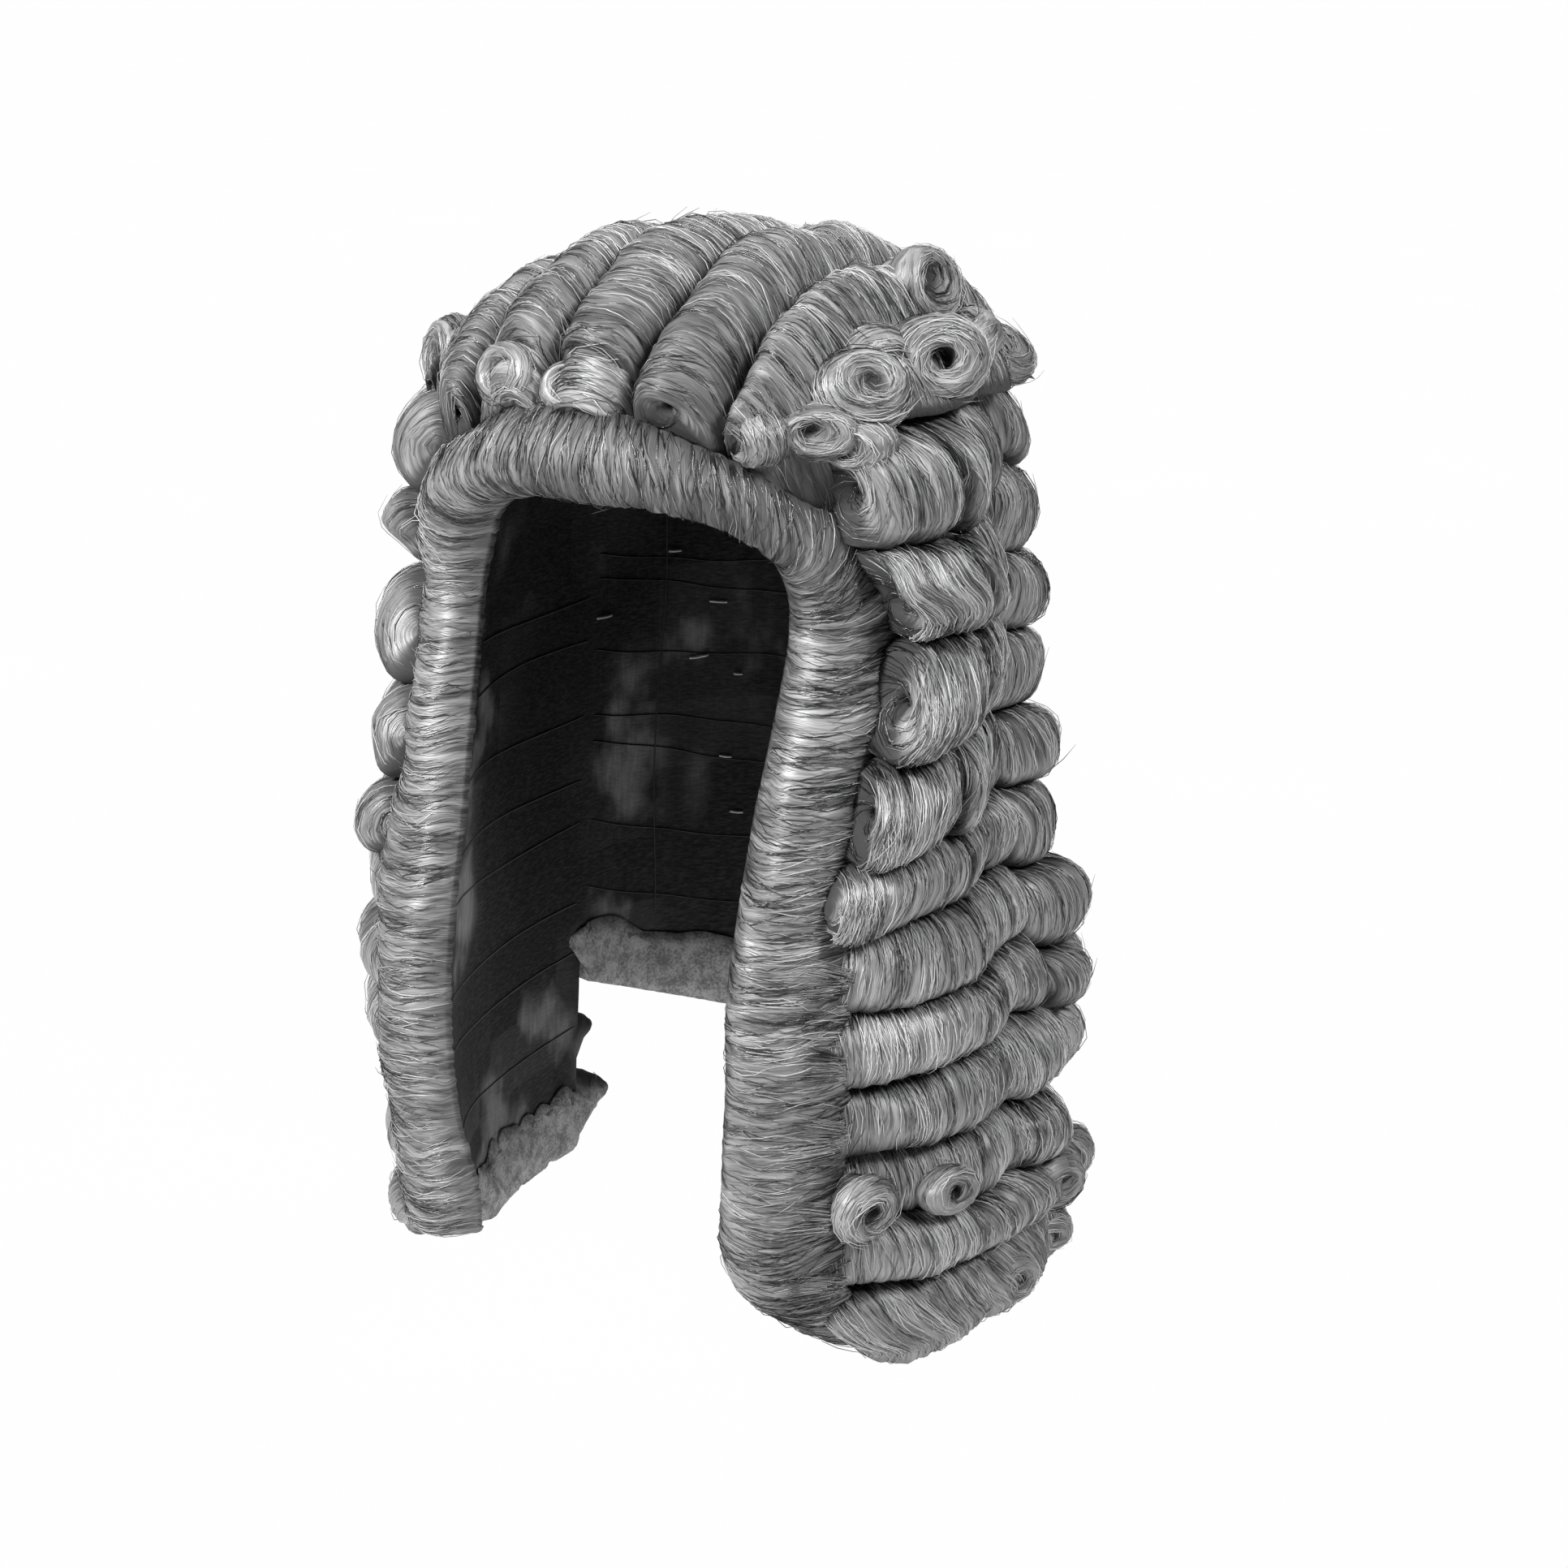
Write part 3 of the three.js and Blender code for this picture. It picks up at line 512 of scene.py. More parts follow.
@dataclass(frozen=True)
class RollEnd:
    """The end of a roll of hair.

    Attributes:
        style: How the end is turned in.
        centre: Where the coil's eye sits, as a share of the roll's depth.
        rim: Share of the section that is left where the end's face begins.
        rounding: Length over which the end rounds in, in millimetres.
        mouth: Share of the section at the hollow's mouth.
        sunk: Depth of the hollow, or how far the eye stands out, in millimetres.
        turns: Windings of the coil.
        step: Height of one winding, in millimetres.
        dish: How far the coil sinks towards the hollow's mouth, in millimetres.
        LEAST_RINGS: Fewest rings of a face.
        NECK_RINGS: Rings down a hollow.
        EYE_SHARE: Share of the section at the eye.
        EYE_SHADE: Depth of the painted shade at an eye, and the share of the section where it
            begins.
        SOFT_SHADE: The same for a plain end.
    """

    style: EndStyle = EndStyle.SOFT
    centre: float = 0.6
    rim: float = 0.72
    rounding: float = 9.0
    mouth: float = 0.4
    sunk: float = 16.0
    turns: float = 2.0
    step: float = 1.6
    dish: float = 4.0
    LEAST_RINGS: ClassVar[int] = 8
    NECK_RINGS: ClassVar[int] = 7
    EYE_SHARE: ClassVar[float] = 0.06
    EYE_SHADE: ClassVar[tuple[float, float]] = (0.95, 0.5)
    SOFT_SHADE: ClassVar[tuple[float, float]] = (0.5, 0.25)

    def face(self, width: float, spacing: float) -> tuple[Array, Array, Array]:
        """Lists the rings of the end's face from its rim to its middle.

        Args:
            width: Mean distance from the section's outline to the eye.
            spacing: Distance between two rings.

        Returns:
            Share of the section, distance out of the end and painted shade, for each ring.
        """
        if self.style is EndStyle.HOLLOW:
            rings = max(int((self.rim - self.mouth) * width / spacing), self.LEAST_RINGS)
            t = np.linspace(0, 1, rings + 1)[1:]
            inside = np.linspace(0, 1, self.NECK_RINGS + 1)[1:]
            neck = self.mouth * (1 - 0.15 * inside)
            shares = [lerp(self.rim, self.mouth, t), neck, self.mouth * np.array([0.5, 0.15])]
            floor = -self.dish - (self.sunk - self.dish) * inside
            out = [-self.dish * t**2, floor, np.full(2, -self.sunk - 0.5)]
            # Painted shade: faint on the coil, growing down the hollow to full at its floor.
            dark = [0.3 * t**3, 0.35 + 0.65 * inside**0.5, np.ones(2)]
            return np.concatenate(shares), np.concatenate(out), np.concatenate(dark)
        is_eye = self.style is EndStyle.EYE
        fine = spacing if is_eye else 2 * spacing
        rings = max(int(self.rim * width / fine), self.LEAST_RINGS)
        shares = np.linspace(self.rim, self.EYE_SHARE, rings + 1)[1:]
        out = self.sunk * (1 - (shares / self.rim) ** 1.7)
        # Painted shade that deepens towards the middle of the end.
        depth, spread = self.EYE_SHADE if is_eye else self.SOFT_SHADE
        return shares, out, depth * smoothstep(-shares, -spread, -self.EYE_SHARE)


@dataclass
class HairSurface:
    """A closed grid of points whose columns follow the hair, in millimetres.

    Attributes:
        points: Rings of points from one end to the other.
        normals: Outward direction at each point.
        across: Position across the hair at each point, with one more column that closes the ring.
        along: Position along the hair at each point, with one more column that closes the ring.
        ridge: Painted shade and light from -1 in creases to 1 on ridges.
        hollow: Painted shade from 0 to 1: inside a hollow, beside neighbouring rolls and towards
            dusky ends.
        felt: 1 where the hair is felted and turned under.
        hidden: Columns at the start of each ring that lie against the cap.
        coiled: Rings at the start that belong to a coiled front end.
    """

    points: Array
    normals: Array
    across: Array
    along: Array
    ridge: Array
    hollow: Array
    felt: Array
    hidden: int
    coiled: int

    def at(self, row: Array, column: Array, lift: ArrayLike) -> Array:
        """Finds points over the surface.

        Args:
            row: Places along the rings, in rings.
            column: Places round the rings, in columns.
            lift: Heights over the surface, in millimetres.

        Returns:
            The points.
        """
        rows, columns = self.points.shape[:2]
        row = np.clip(row, 1, rows - 2.01)
        i, whole = row.astype(int), column.astype(int)
        j, n = whole % columns, (whole + 1) % columns
        u, v = (row - i)[:, None], (column - whole)[:, None]
        below = lerp(self.points[i, j], self.points[i + 1, j], u)
        beside = lerp(self.points[i, n], self.points[i + 1, n], u)
        risen = self.normals[i, j] * np.broadcast_to(lift, row.shape)[:, None]
        return lerp(below, beside, v) + risen


def arc_lengths(rings: Array) -> Array:
    """Measures along each ring.

    Args:
        rings: Points of the rings.

    Returns:
        Distance round each ring to each point, with one more column that closes it.
    """
    closed = np.concatenate([rings, rings[:, :1]], axis=1)
    steps = np.linalg.norm(np.diff(closed, axis=1), axis=-1)
    return np.concatenate([np.zeros((len(rings), 1)), np.cumsum(steps, axis=1)], axis=1)


def ring_normals(rings: Array, centres: Array) -> Array:
    """Works out the outward normals of a grid of rings.

    Args:
        rings: Points of the rings.
        centres: The line of centres that they go round.

    Returns:
        The normal at each point.
    """
    down = np.gradient(rings, axis=0)
    round_ = np.roll(rings, -1, axis=1) - np.roll(rings, 1, axis=1)
    normals = unit(np.cross(down, round_))
    middle = slice(len(rings) // 3, max(len(rings) // 3 + 1, 2 * len(rings) // 3))
    outward = np.sum(normals[middle] * (rings[middle] - centres[middle, None]), axis=-1).mean()
    return normals if outward > 0 else -normals


@dataclass
class Roll:
    """A roll of hair through rings of points, closed by two turned-in ends.

    Attributes:
        rings: Points of the rings from front to rear, in millimetres.
        hidden: Columns at the start of each ring that lie against the cap.
        comb: How the hair is combed.
        front: The front end.
        rear: The rear end.
        spacing: Distance between two rings of an end's face.
        felted: Whether the hair against the cap shows and is felted.
        valley_shade: Painted shade on the hair beside the neighbouring rolls.
        dusk: Painted shade on the hair towards its front end.
        AXIS_RUN: Length over which an end's direction is taken.
        COIL_RUN: How far the hair runs sideways in one turn of a coiled end.
        FULL_GIRTH: Girth from which the relief has its full height.
        PRESSED: Share of the relief that is left against the cap.
        VALLEY_SPAN: Where the painted shade beside the rolls begins and is full, from crest at 0 to
            cap at 1.
        DUSK_SPAN: Where the dusk is full and where it ends, as shares of the roll.
    """

    rings: Array
    hidden: int
    comb: Comb
    front: RollEnd = field(default_factory=RollEnd)
    rear: RollEnd = field(default_factory=RollEnd)
    spacing: float = 0.6
    felted: bool = False
    valley_shade: float = 0.85
    dusk: float = 0.0
    AXIS_RUN: ClassVar[float] = 8.0
    COIL_RUN: ClassVar[float] = 8.0
    FULL_GIRTH: ClassVar[float] = 60.0
    PRESSED: ClassVar[float] = 0.15
    VALLEY_SPAN: ClassVar[tuple[float, float]] = (0.38, 0.95)
    DUSK_SPAN: ClassVar[tuple[float, float]] = (0.1, 0.45)

    def _centres(self, rings: Array, share: float) -> Array:
        """Returns the line of centres at a share of the roll's depth."""
        peak = self.hidden + (rings.shape[1] - self.hidden) // 2
        return lerp(rings[:, self.hidden // 2], rings[:, peak], share)

    def _turned_in(self, rings: Array, end: RollEnd) -> tuple[Array, Array, Array, Array]:
        """Rounds the first ring's end and closes it with a coiled face.

        Args:
            rings: Rings whose first one is at the end.
            end: How the end is made.

        Returns:
            The rounded rings, the face's rings from rim to middle, their painted shade, and painted
            light and shade on the windings.
        """
        centres = self._centres(rings, end.centre)
        run = run_lengths(centres)
        t = np.clip(run / end.rounding, 0, 1)
        share = end.rim + (1 - end.rim) * np.sqrt(1 - (1 - t) ** 2)
        rounded = centres[:, None] + (rings - centres[:, None]) * share[:, None, None]
        inner = min(int(np.searchsorted(run, self.AXIS_RUN)) + 1, len(rings) - 1)
        axis = unit(centres[0] - centres[inner])
        spokes = rings[0] - centres[0]
        width = float(np.linalg.norm(spokes[self.hidden :], axis=-1).mean())
        shares, out, dark = end.face(width, self.spacing)
        angle = arc_lengths(rings[:1])[0]
        angle = angle[:-1] / angle[-1]
        least = end.mouth if end.style is EndStyle.HOLLOW else 0.0
        phase = end.turns * (end.rim - shares[:, None]) / (end.rim - least) + angle[None]
        winding = np.sqrt(np.abs(np.sin(np.pi * phase))) - 0.6
        fade = smoothstep(np.arange(len(shares)), 0, 4) * smoothstep(shares, 0.05, 0.25)
        wound = winding * (fade * (1 - dark))[:, None]
        height = out[:, None] + end.step * wound
        reach = np.linalg.norm(spokes, axis=-1)
        radius = np.percentile(reach, 30)
        round_off = smoothstep(-shares, -end.rim, -0.45 * end.rim)[:, None]
        length = lerp(reach[None], np.minimum(radius, reach)[None], round_off) * shares[:, None]
        face = centres[0] + unit(spokes)[None] * length[..., None] + axis * height[..., None]
        return rounded, face, dark, np.clip(1.6 * wound, -1, 1)

    def build(self) -> HairSurface:
        """Closes the roll and combs it.

        Returns:
            The finished surface with its wisps and strands.
        """
        body, face, face_shade, face_winding_shade = self._turned_in(self.rings, self.front)
        back, tail, tail_shade, tail_winding_shade = self._turned_in(body[::-1], self.rear)
        rings = np.concatenate([face[::-1], back[::-1], tail])
        # Painted shade down the ends' hollows, and painted light and shade on their windings.
        dark = np.concatenate([face_shade[::-1], np.zeros(len(back)), tail_shade])
        wound = np.concatenate([face_winding_shade[::-1], np.zeros(back.shape[:2]), tail_winding_shade])
        peak = self.hidden + (rings.shape[1] - self.hidden) // 2
        across = run_lengths(rings[:, peak])
        along = arc_lengths(rings)
        angle = along / np.maximum(along[:, -1:], TINY)
        in_face = np.zeros(len(rings))
        in_face[: len(face)] = 1
        across_grid = across[:, None] + self.COIL_RUN * in_face[:, None] * angle
        rise, tone = self.comb.relief(across_grid[:, :-1], along[:, :-1])
        rise *= np.clip(along[:, -1:] / self.FULL_GIRTH, 0, 1)
        rise[:, : self.hidden] *= self.PRESSED
        normals = ring_normals(rings, rings.mean(axis=1))
        points = rings + normals * rise[..., None]
        felt = np.zeros(rise.shape)
        if self.felted:
            felt[:, : self.hidden] = 1
        # Painted shade: darker beside the neighbouring rolls, towards the front, and in the ends'
        # hollows.
        aside = np.abs(np.arange(rings.shape[1]) - peak) / max(rings.shape[1] - peak, 1)
        valley_shade = self.valley_shade * smoothstep(aside, *self.VALLEY_SPAN)[None] * np.ones((len(rings), 1))
        dusk = self.dusk * (1 - smoothstep(across / across[-1], *self.DUSK_SPAN))
        hollow = np.maximum(dark[:, None], np.maximum(valley_shade, dusk[:, None]))
        # Painted light on the ridges and windings, painted shade in the creases.
        shade = np.clip(0.8 * tone + wound, -1, 1)
        coiled = 0 if self.front.style is EndStyle.SOFT else len(face)
        return HairSurface(
            points, normals, across_grid, along, shade, hollow, felt, self.hidden, coiled
        )


@dataclass(frozen=True)
class Curl:
    """A short curl set into the hair with its coiled end facing out, in millimetres.

    Attributes:
        radius: Radius at the end.
        length: Length of the curl behind its end.
        flare: How much wider it is where it sinks into the hair.
        rim: Share of the radius at which its face begins.
        mouth: Radius of the hollow as a share of the radius, or 0 for a dimple.
        sunk: Depth of the hollow or dimple.
        turns: Windings of the coil.
        seed: Seed of its strands.
        COLUMNS: Points round the curl.
        SPACING: Distance between two rings.
        WOBBLE: How far its direction may stray.
        SQUASH: Least and greatest height against its width.
        EYE: Least and greatest place of a dimple's eye, as a share of its depth.
        COMB: How its hair is combed.
    """

    radius: float
    length: float = 16.0
    flare: float = 1.25
    rim: float = 0.7
    mouth: float = 0.0
    sunk: float = 4.5
    turns: float = 1.6
    seed: int = 1
    COLUMNS: ClassVar[int] = 26
    SPACING: ClassVar[float] = 1.4
    WOBBLE: ClassVar[float] = 0.22
    SQUASH: ClassVar[tuple[float, float]] = (0.62, 0.95)
    EYE: ClassVar[tuple[float, float]] = (0.3, 0.42)
    COMB: ClassVar[Comb] = Comb(wisp=4.5, wisp_rise=0.9, strand=2.4, strand_rise=0.28, sway=2.5)

    def build(self, at: Array, facing: Array) -> HairSurface:
        """Returns the curl's surface.

        Args:
            at: Middle of the coiled end.
            facing: The way that the end faces.

        Returns:
            The closed surface.
        """
        rng = np.random.default_rng(self.seed)
        out = unit(unit(facing) + rng.uniform(-self.WOBBLE, self.WOBBLE, 3))
        level = unit(np.cross((0.0, 0.0, 1.0), out))
        up = np.cross(out, level)
        t = np.linspace(0, 1, max(int(self.length / self.SPACING), 10))[:, None, None]
        turn = np.linspace(0, 2 * math.pi, self.COLUMNS, endpoint=False)[None, :, None]
        turn = turn + rng.uniform(0, 6)
        radius = self.radius * lerp(1.0, self.flare, t)
        middle = at - out * (self.length * t)
        squash = rng.uniform(*self.SQUASH)
        rings = middle + radius * (np.cos(turn) * level + squash * np.sin(turn) * up)
        eye = 0.5 if self.mouth else rng.uniform(*self.EYE)
        end = RollEnd(EndStyle.EYE, eye, self.rim, 9.0, sunk=-self.sunk, turns=self.turns, step=1.6)
        if self.mouth:
            end = replace(end, style=EndStyle.HOLLOW, mouth=self.mouth, sunk=self.sunk, dish=2.0)
        comb = replace(self.COMB, seed=self.seed)
        return Roll(rings, 0, comb, front=end, spacing=self.SPACING, valley_shade=0.0).build()


class MeshBench:
    """Gathers closed grids and makes one mesh object of them."""

    # The poles in the ends' middles get full painted shade and a crease tone.
    POLE_VALUES = {"ridge": -0.5, "hollow": 1.0, "felt": 0.0}

    def __init__(self) -> None:
        """Starts with no points."""
        self.points: list[Array] = []
        self.faces: list[NDArray[np.int64]] = []
        self.uvs: list[Array] = []
        self.values: dict[str, list[Array]] = {name: [] for name in self.POLE_VALUES}
        self.count = 0

    def add(self, surface: HairSurface) -> None:
        """Adds a surface and closes both of its ends with a fan.

        Args:
            surface: A closed grid of rings.
        """
        rows, columns = surface.points.shape[:2]
        first = self.count
        grid = first + np.arange(rows * columns).reshape(rows, columns)
        wrapped = np.concatenate([grid, grid[:, :1]], axis=1)
        corners = [wrapped[:-1, :-1], wrapped[1:, :-1], wrapped[1:, 1:], wrapped[:-1, 1:]]
        quads = np.stack(corners, axis=-1)
        uv = np.stack([surface.along, surface.across], axis=-1) / UV_UNIT
        uv_quads = np.stack([uv[:-1, :-1], uv[1:, :-1], uv[1:, 1:], uv[:-1, 1:]], axis=-2)
        poles = surface.points[[0, -1]].mean(axis=1)
        points = np.concatenate([surface.points.reshape(-1, 3), poles])
        pole = first + rows * columns
        fans, fan_uvs = [], []
        for row, tip, turned in ((0, pole, False), (rows - 1, pole + 1, True)):
            ring = np.stack([wrapped[row, :-1], wrapped[row, 1:], np.full(columns, tip)], axis=-1)
            corner = np.stack([uv[row, :-1], uv[row, 1:], uv[row, :-1]], axis=-2)
            fans.append(ring[:, ::-1] if turned else ring)
            fan_uvs.append(corner[:, ::-1] if turned else corner)
        faces = [quads.reshape(-1, 4), *fans]
        loops = [uv_quads.reshape(-1, 4, 2), *fan_uvs]
        if self._volume(points, [f - first for f in faces]) < 0:
            faces = [f[:, ::-1] for f in faces]
            loops = [u[:, ::-1] for u in loops]
        self.points.append(points)
        self.faces.extend(faces)
        self.uvs.extend(loops)
        for name, value in self.POLE_VALUES.items():
            found = getattr(surface, name).ravel()
            self.values[name].append(np.concatenate([found, [value, value]]))
        self.count += len(points)

    @staticmethod
    def _volume(points: Array, faces: Sequence[NDArray[np.int64]]) -> float:
        """Measures what the faces enclose, to tell which way they look.

        Args:
            points: Points of the faces.
            faces: Blocks of faces with equal numbers of corners.

        Returns:
            Six times the signed volume.
        """
        total = 0.0
        for block in faces:
            for k in range(1, block.shape[1] - 1):
                a, b, c = points[block[:, 0]], points[block[:, k]], points[block[:, k + 1]]
                total += float(np.sum(a * np.cross(b, c)))
        return total

    def finish(self, name: str, material: bpy.types.Material) -> bpy.types.Object:
        """Makes the object.

        Args:
            name: Name of the object and its mesh.
            material: Its finish.

        Returns:
            The object, linked to the scene.
        """
        mesh = bpy.data.meshes.new(name)
        points = np.concatenate(self.points) * MM
        mesh.vertices.add(len(points))
        mesh.vertices.foreach_set("co", points.astype(np.float32).ravel())
        loops = np.concatenate([f.ravel() for f in self.faces])
        sizes = np.concatenate([np.full(len(f), f.shape[1]) for f in self.faces])
        mesh.loops.add(len(loops))
        mesh.loops.foreach_set("vertex_index", loops.astype(np.int32))
        mesh.polygons.add(len(sizes))
        starts = np.concatenate([[0], np.cumsum(sizes)[:-1]])
        mesh.polygons.foreach_set("loop_start", starts.astype(np.int32))
        mesh.polygons.foreach_set("use_smooth", np.ones(len(sizes), bool))
        layer = mesh.uv_layers.new(name="strand")
        flat = np.concatenate([u.reshape(-1, 2) for u in self.uvs])
        layer.data.foreach_set("uv", flat.astype(np.float32).ravel())
        for key, blocks in self.values.items():
            write_values(mesh, key, blocks)
        mesh.update(calc_edges=True)
        mesh.validate()
        mesh.materials.append(material)
        return place(name, mesh)


class Ink:
    """A shader value that takes plain arithmetic."""

    def __init__(self, bench: "ShaderBench", socket: bpy.types.NodeSocket) -> None:
        """Wraps an output socket of a bench's tree."""
        self.bench = bench
        self.socket = socket

    def _math(self, operation: str, first: "Ink | float", second: "Ink | float") -> "Ink":
        """Returns the result of a math node."""
        return self.bench.ink("ShaderNodeMath", {"operation": operation}, {0: first, 1: second})

    def __add__(self, other: "Ink | float") -> "Ink":
        """Returns the sum."""
        return self._math("ADD", self, other)

    def __radd__(self, other: float) -> "Ink":
        """Returns the sum, reflected."""
        return self._math("ADD", other, self)

    def __sub__(self, other: "Ink | float") -> "Ink":
        """Returns the difference."""
        return self._math("SUBTRACT", self, other)

    def __mul__(self, other: "Ink | float") -> "Ink":
        """Returns the product."""
        return self._math("MULTIPLY", self, other)

    def __rmul__(self, other: float) -> "Ink":
        """Returns the product, reflected."""
        return self._math("MULTIPLY", other, self)

    def between(self, low: float, high: float) -> "Ink":
        """Returns a smooth rise from 0 at low to 1 at high."""
        values = {"Value": self, "From Min": low, "From Max": high}
        return self.bench.ink("ShaderNodeMapRange", {"interpolation_type": "SMOOTHSTEP"}, values)


class ShaderBench:
    """A material whose nodes are made through one method."""

    def __init__(self, name: str) -> None:
        """Starts a material with a principled surface.

        Args:
            name: Name of the material.
        """
        self.material = bpy.data.materials.new(name)
        self.material.use_nodes = True
        self.tree = self.material.node_tree
        self.surface = self.tree.nodes["Principled BSDF"]

    def node(self, kind: str, settings: dict[str, Any], values: Sockets) -> bpy.types.Node:
        """Makes a node.

        Args:
            kind: The node's type.
            settings: Attributes that are set first.
            values: Socket values or inks, by socket name or number.

        Returns:
            The node.
        """
        made = self.tree.nodes.new(kind)
        for key, value in settings.items():
            setattr(made, key, value)
        for key, value in values.items():
            self.feed(made, key, value)
        return made

    def feed(self, node: bpy.types.Node, key: int | str, value: Any) -> None:
        """Sets a socket's value, or links it where the value is an ink.

        Args:
            node: The node.
            key: Name or number of its socket.
            value: The value or ink.
        """
        if isinstance(value, Ink):
            self.tree.links.new(value.socket, node.inputs[key])
        else:
            node.inputs[key].default_value = value

    def ink(
        self, kind: str, settings: dict[str, Any], values: Sockets, output: int | str = 0
    ) -> Ink:
        """Makes a node and returns one of its outputs as an ink."""
        return Ink(self, self.node(kind, settings, values).outputs[output])

    def noise(self, vector: Ink, stretch: Sequence[float], detail: float = 2.0) -> Ink:
        """Returns noise from 0 to 1 on stretched coordinates.

        Args:
            vector: Coordinates.
            stretch: Noise cells for each unit along each axis.
            detail: Octaves.

        Returns:
            The noise.
        """
        factors = {0: vector, 1: stretch}
        scaled = self.ink("ShaderNodeVectorMath", {"operation": "MULTIPLY"}, factors)
        values = {"Vector": scaled, "Scale": 1.0, "Detail": detail}
        return self.ink("ShaderNodeTexNoise", {}, values)

    def where(self) -> Ink:
        """Returns the object's own coordinates."""
        return self.ink("ShaderNodeTexCoord", {}, {}, "Object")

    def attribute(self, name: str) -> Ink:
        """Returns a float attribute of the mesh."""
        return self.ink("ShaderNodeAttribute", {"attribute_name": name}, {}, "Fac")

    def mix(
        self, share: Ink | float, low: Sequence[float] | Ink, high: Sequence[float] | Ink
    ) -> Ink:
        """Returns a colour between two colours."""
        values = {0: share, 6: low, 7: high}
        return self.ink("ShaderNodeMix", {"data_type": "RGBA", "clamp_factor": True}, values, 2)

    def bump(self, height: Ink, strength: float, distance: float) -> Ink:
        """Returns a normal bent by a height."""
        values = {"Strength": strength, "Distance": distance, "Height": height}
        return self.ink("ShaderNodeBump", {}, values)

    def finish(self, inputs: dict[str, Any]) -> bpy.types.Material:
        """Feeds the surface.

        Args:
            inputs: Values or inks by the names of the surface's sockets.

        Returns:
            The finished material.
        """
        for key, value in inputs.items():
            self.feed(self.surface, key, value)
        return self.material


def grey(value: float) -> tuple[float, float, float, float]:
    """Returns a neutral grey as a colour."""
    return (value, value, value, 1.0)


@dataclass(frozen=True)
class HairFinish:
    """Salt-and-pepper horsehair, streaked along the strands, with painted shade and light from its
    relief and hollows.

    Attributes:
        name: Name of the material.
        dark: Grey of the darkest strands.
        light: Grey of the lightest strands.
        felt: Grey of the felted hair that is turned under.
        gloss: Roughness of the strands.
        shine: Strength of their reflection.
        wisp: How much the wisps tell in the tone.
        strand: How much the strands do.
        thread: How much the finest threads do.
        ridge: How much the painted light on ridges and painted shade in creases tell.
        shade: How much the painted shade darkens hollows, the gaps between rolls and dusky ends.
    """

    name: str = "grey_horsehair"
    dark: float = 0.012
    light: float = 0.25
    felt: float = 0.2
    gloss: float = 0.35
    shine: float = 0.9
    wisp: float = 0.7
    strand: float = 1.0
    thread: float = 0.9
    ridge: float = 0.3
    shade: float = 0.9

    def build(self) -> bpy.types.Material:
        """Builds the shader.

        Returns:
            The finished material.
        """
        bench = ShaderBench(self.name)
        uv = bench.ink("ShaderNodeUVMap", {"uv_map": "strand"}, {})
        bend = bench.noise(uv, (0.45, 0.6, 1.0))
        shift = bench.ink("ShaderNodeCombineXYZ", {}, {"Y": 0.9 * (bend - 0.5)})
        lines = bench.ink("ShaderNodeVectorMath", {"operation": "ADD"}, {0: uv, 1: shift})
        wisps = bench.noise(lines, (0.28, 1.7, 1.0))
        strands = bench.noise(lines, (0.5, 6.5, 1.0))
        threads = bench.noise(lines, (0.8, 19.0, 1.0), 1.0)
        ridge, hollow, felt = (bench.attribute(name) for name in ("ridge", "hollow", "felt"))
        # Painted shade in hollows and creases and painted light on ridges go into the tone.
        tone = 0.5 + self.wisp * (wisps - 0.5) + self.strand * (strands - 0.5)
        tone = tone + self.thread * (threads - 0.5) + self.ridge * ridge - self.shade * hollow
        colour = bench.mix(tone.between(-0.05, 1.05), grey(self.dark), grey(self.light))
        where = bench.where()
        fuzz = 0.5 * bench.noise(where, (800, 800, 800), 3.0)
        fuzz = fuzz + 0.5 * bench.noise(where, (140, 140, 140), 3.0)
        felted = bench.mix(fuzz.between(0.35, 0.65), grey(self.felt * 0.4), grey(self.felt * 1.5))
        return bench.finish(
            {
                "Base Color": bench.mix(felt, colour, felted),
                "Roughness": self.gloss + 0.22 * strands + 0.4 * felt + 0.5 * hollow,
                "Specular IOR Level": self.shine,
                "Normal": bench.bump(0.7 * threads + 0.5 * strands, 0.5, 0.0006),
            }
        )


@dataclass(frozen=True)
class StrandFinish:
    """Single hairs, each with its own grey, darkened by painted shade where they lie in hollows.

    Attributes:
        name: Name of the material.
        dark: Grey of the darkest hairs.
        light: Grey of the lightest hairs.
        gloss: Roughness of the hairs.
        shine: Strength of their reflection.
    """

    name: str = "grey_strand"
    dark: float = 0.008
    light: float = 0.43
    gloss: float = 0.26
    shine: float = 0.9

    def build(self) -> bpy.types.Material:
        """Builds the shader.

        Returns:
            The finished material.
        """
        bench = ShaderBench(self.name)
        where = bench.where()
        cloud = bench.noise(where, (120, 120, 120), 1.0)
        cloud = cloud + 1.2 * bench.noise(where, (42, 42, 42), 1.0)
        # The tone holds each strand's own grey less the painted shade of the surface beneath it.
        tone = bench.attribute("tone")
        share = (tone + 0.6 * (cloud - 1.1)).between(0.05, 1.0)
        return bench.finish(
            {
                "Base Color": bench.mix(share, grey(self.dark), grey(self.light)),
                "Roughness": self.gloss + 0.15 * tone,
                "Specular IOR Level": self.shine,
            }
        )


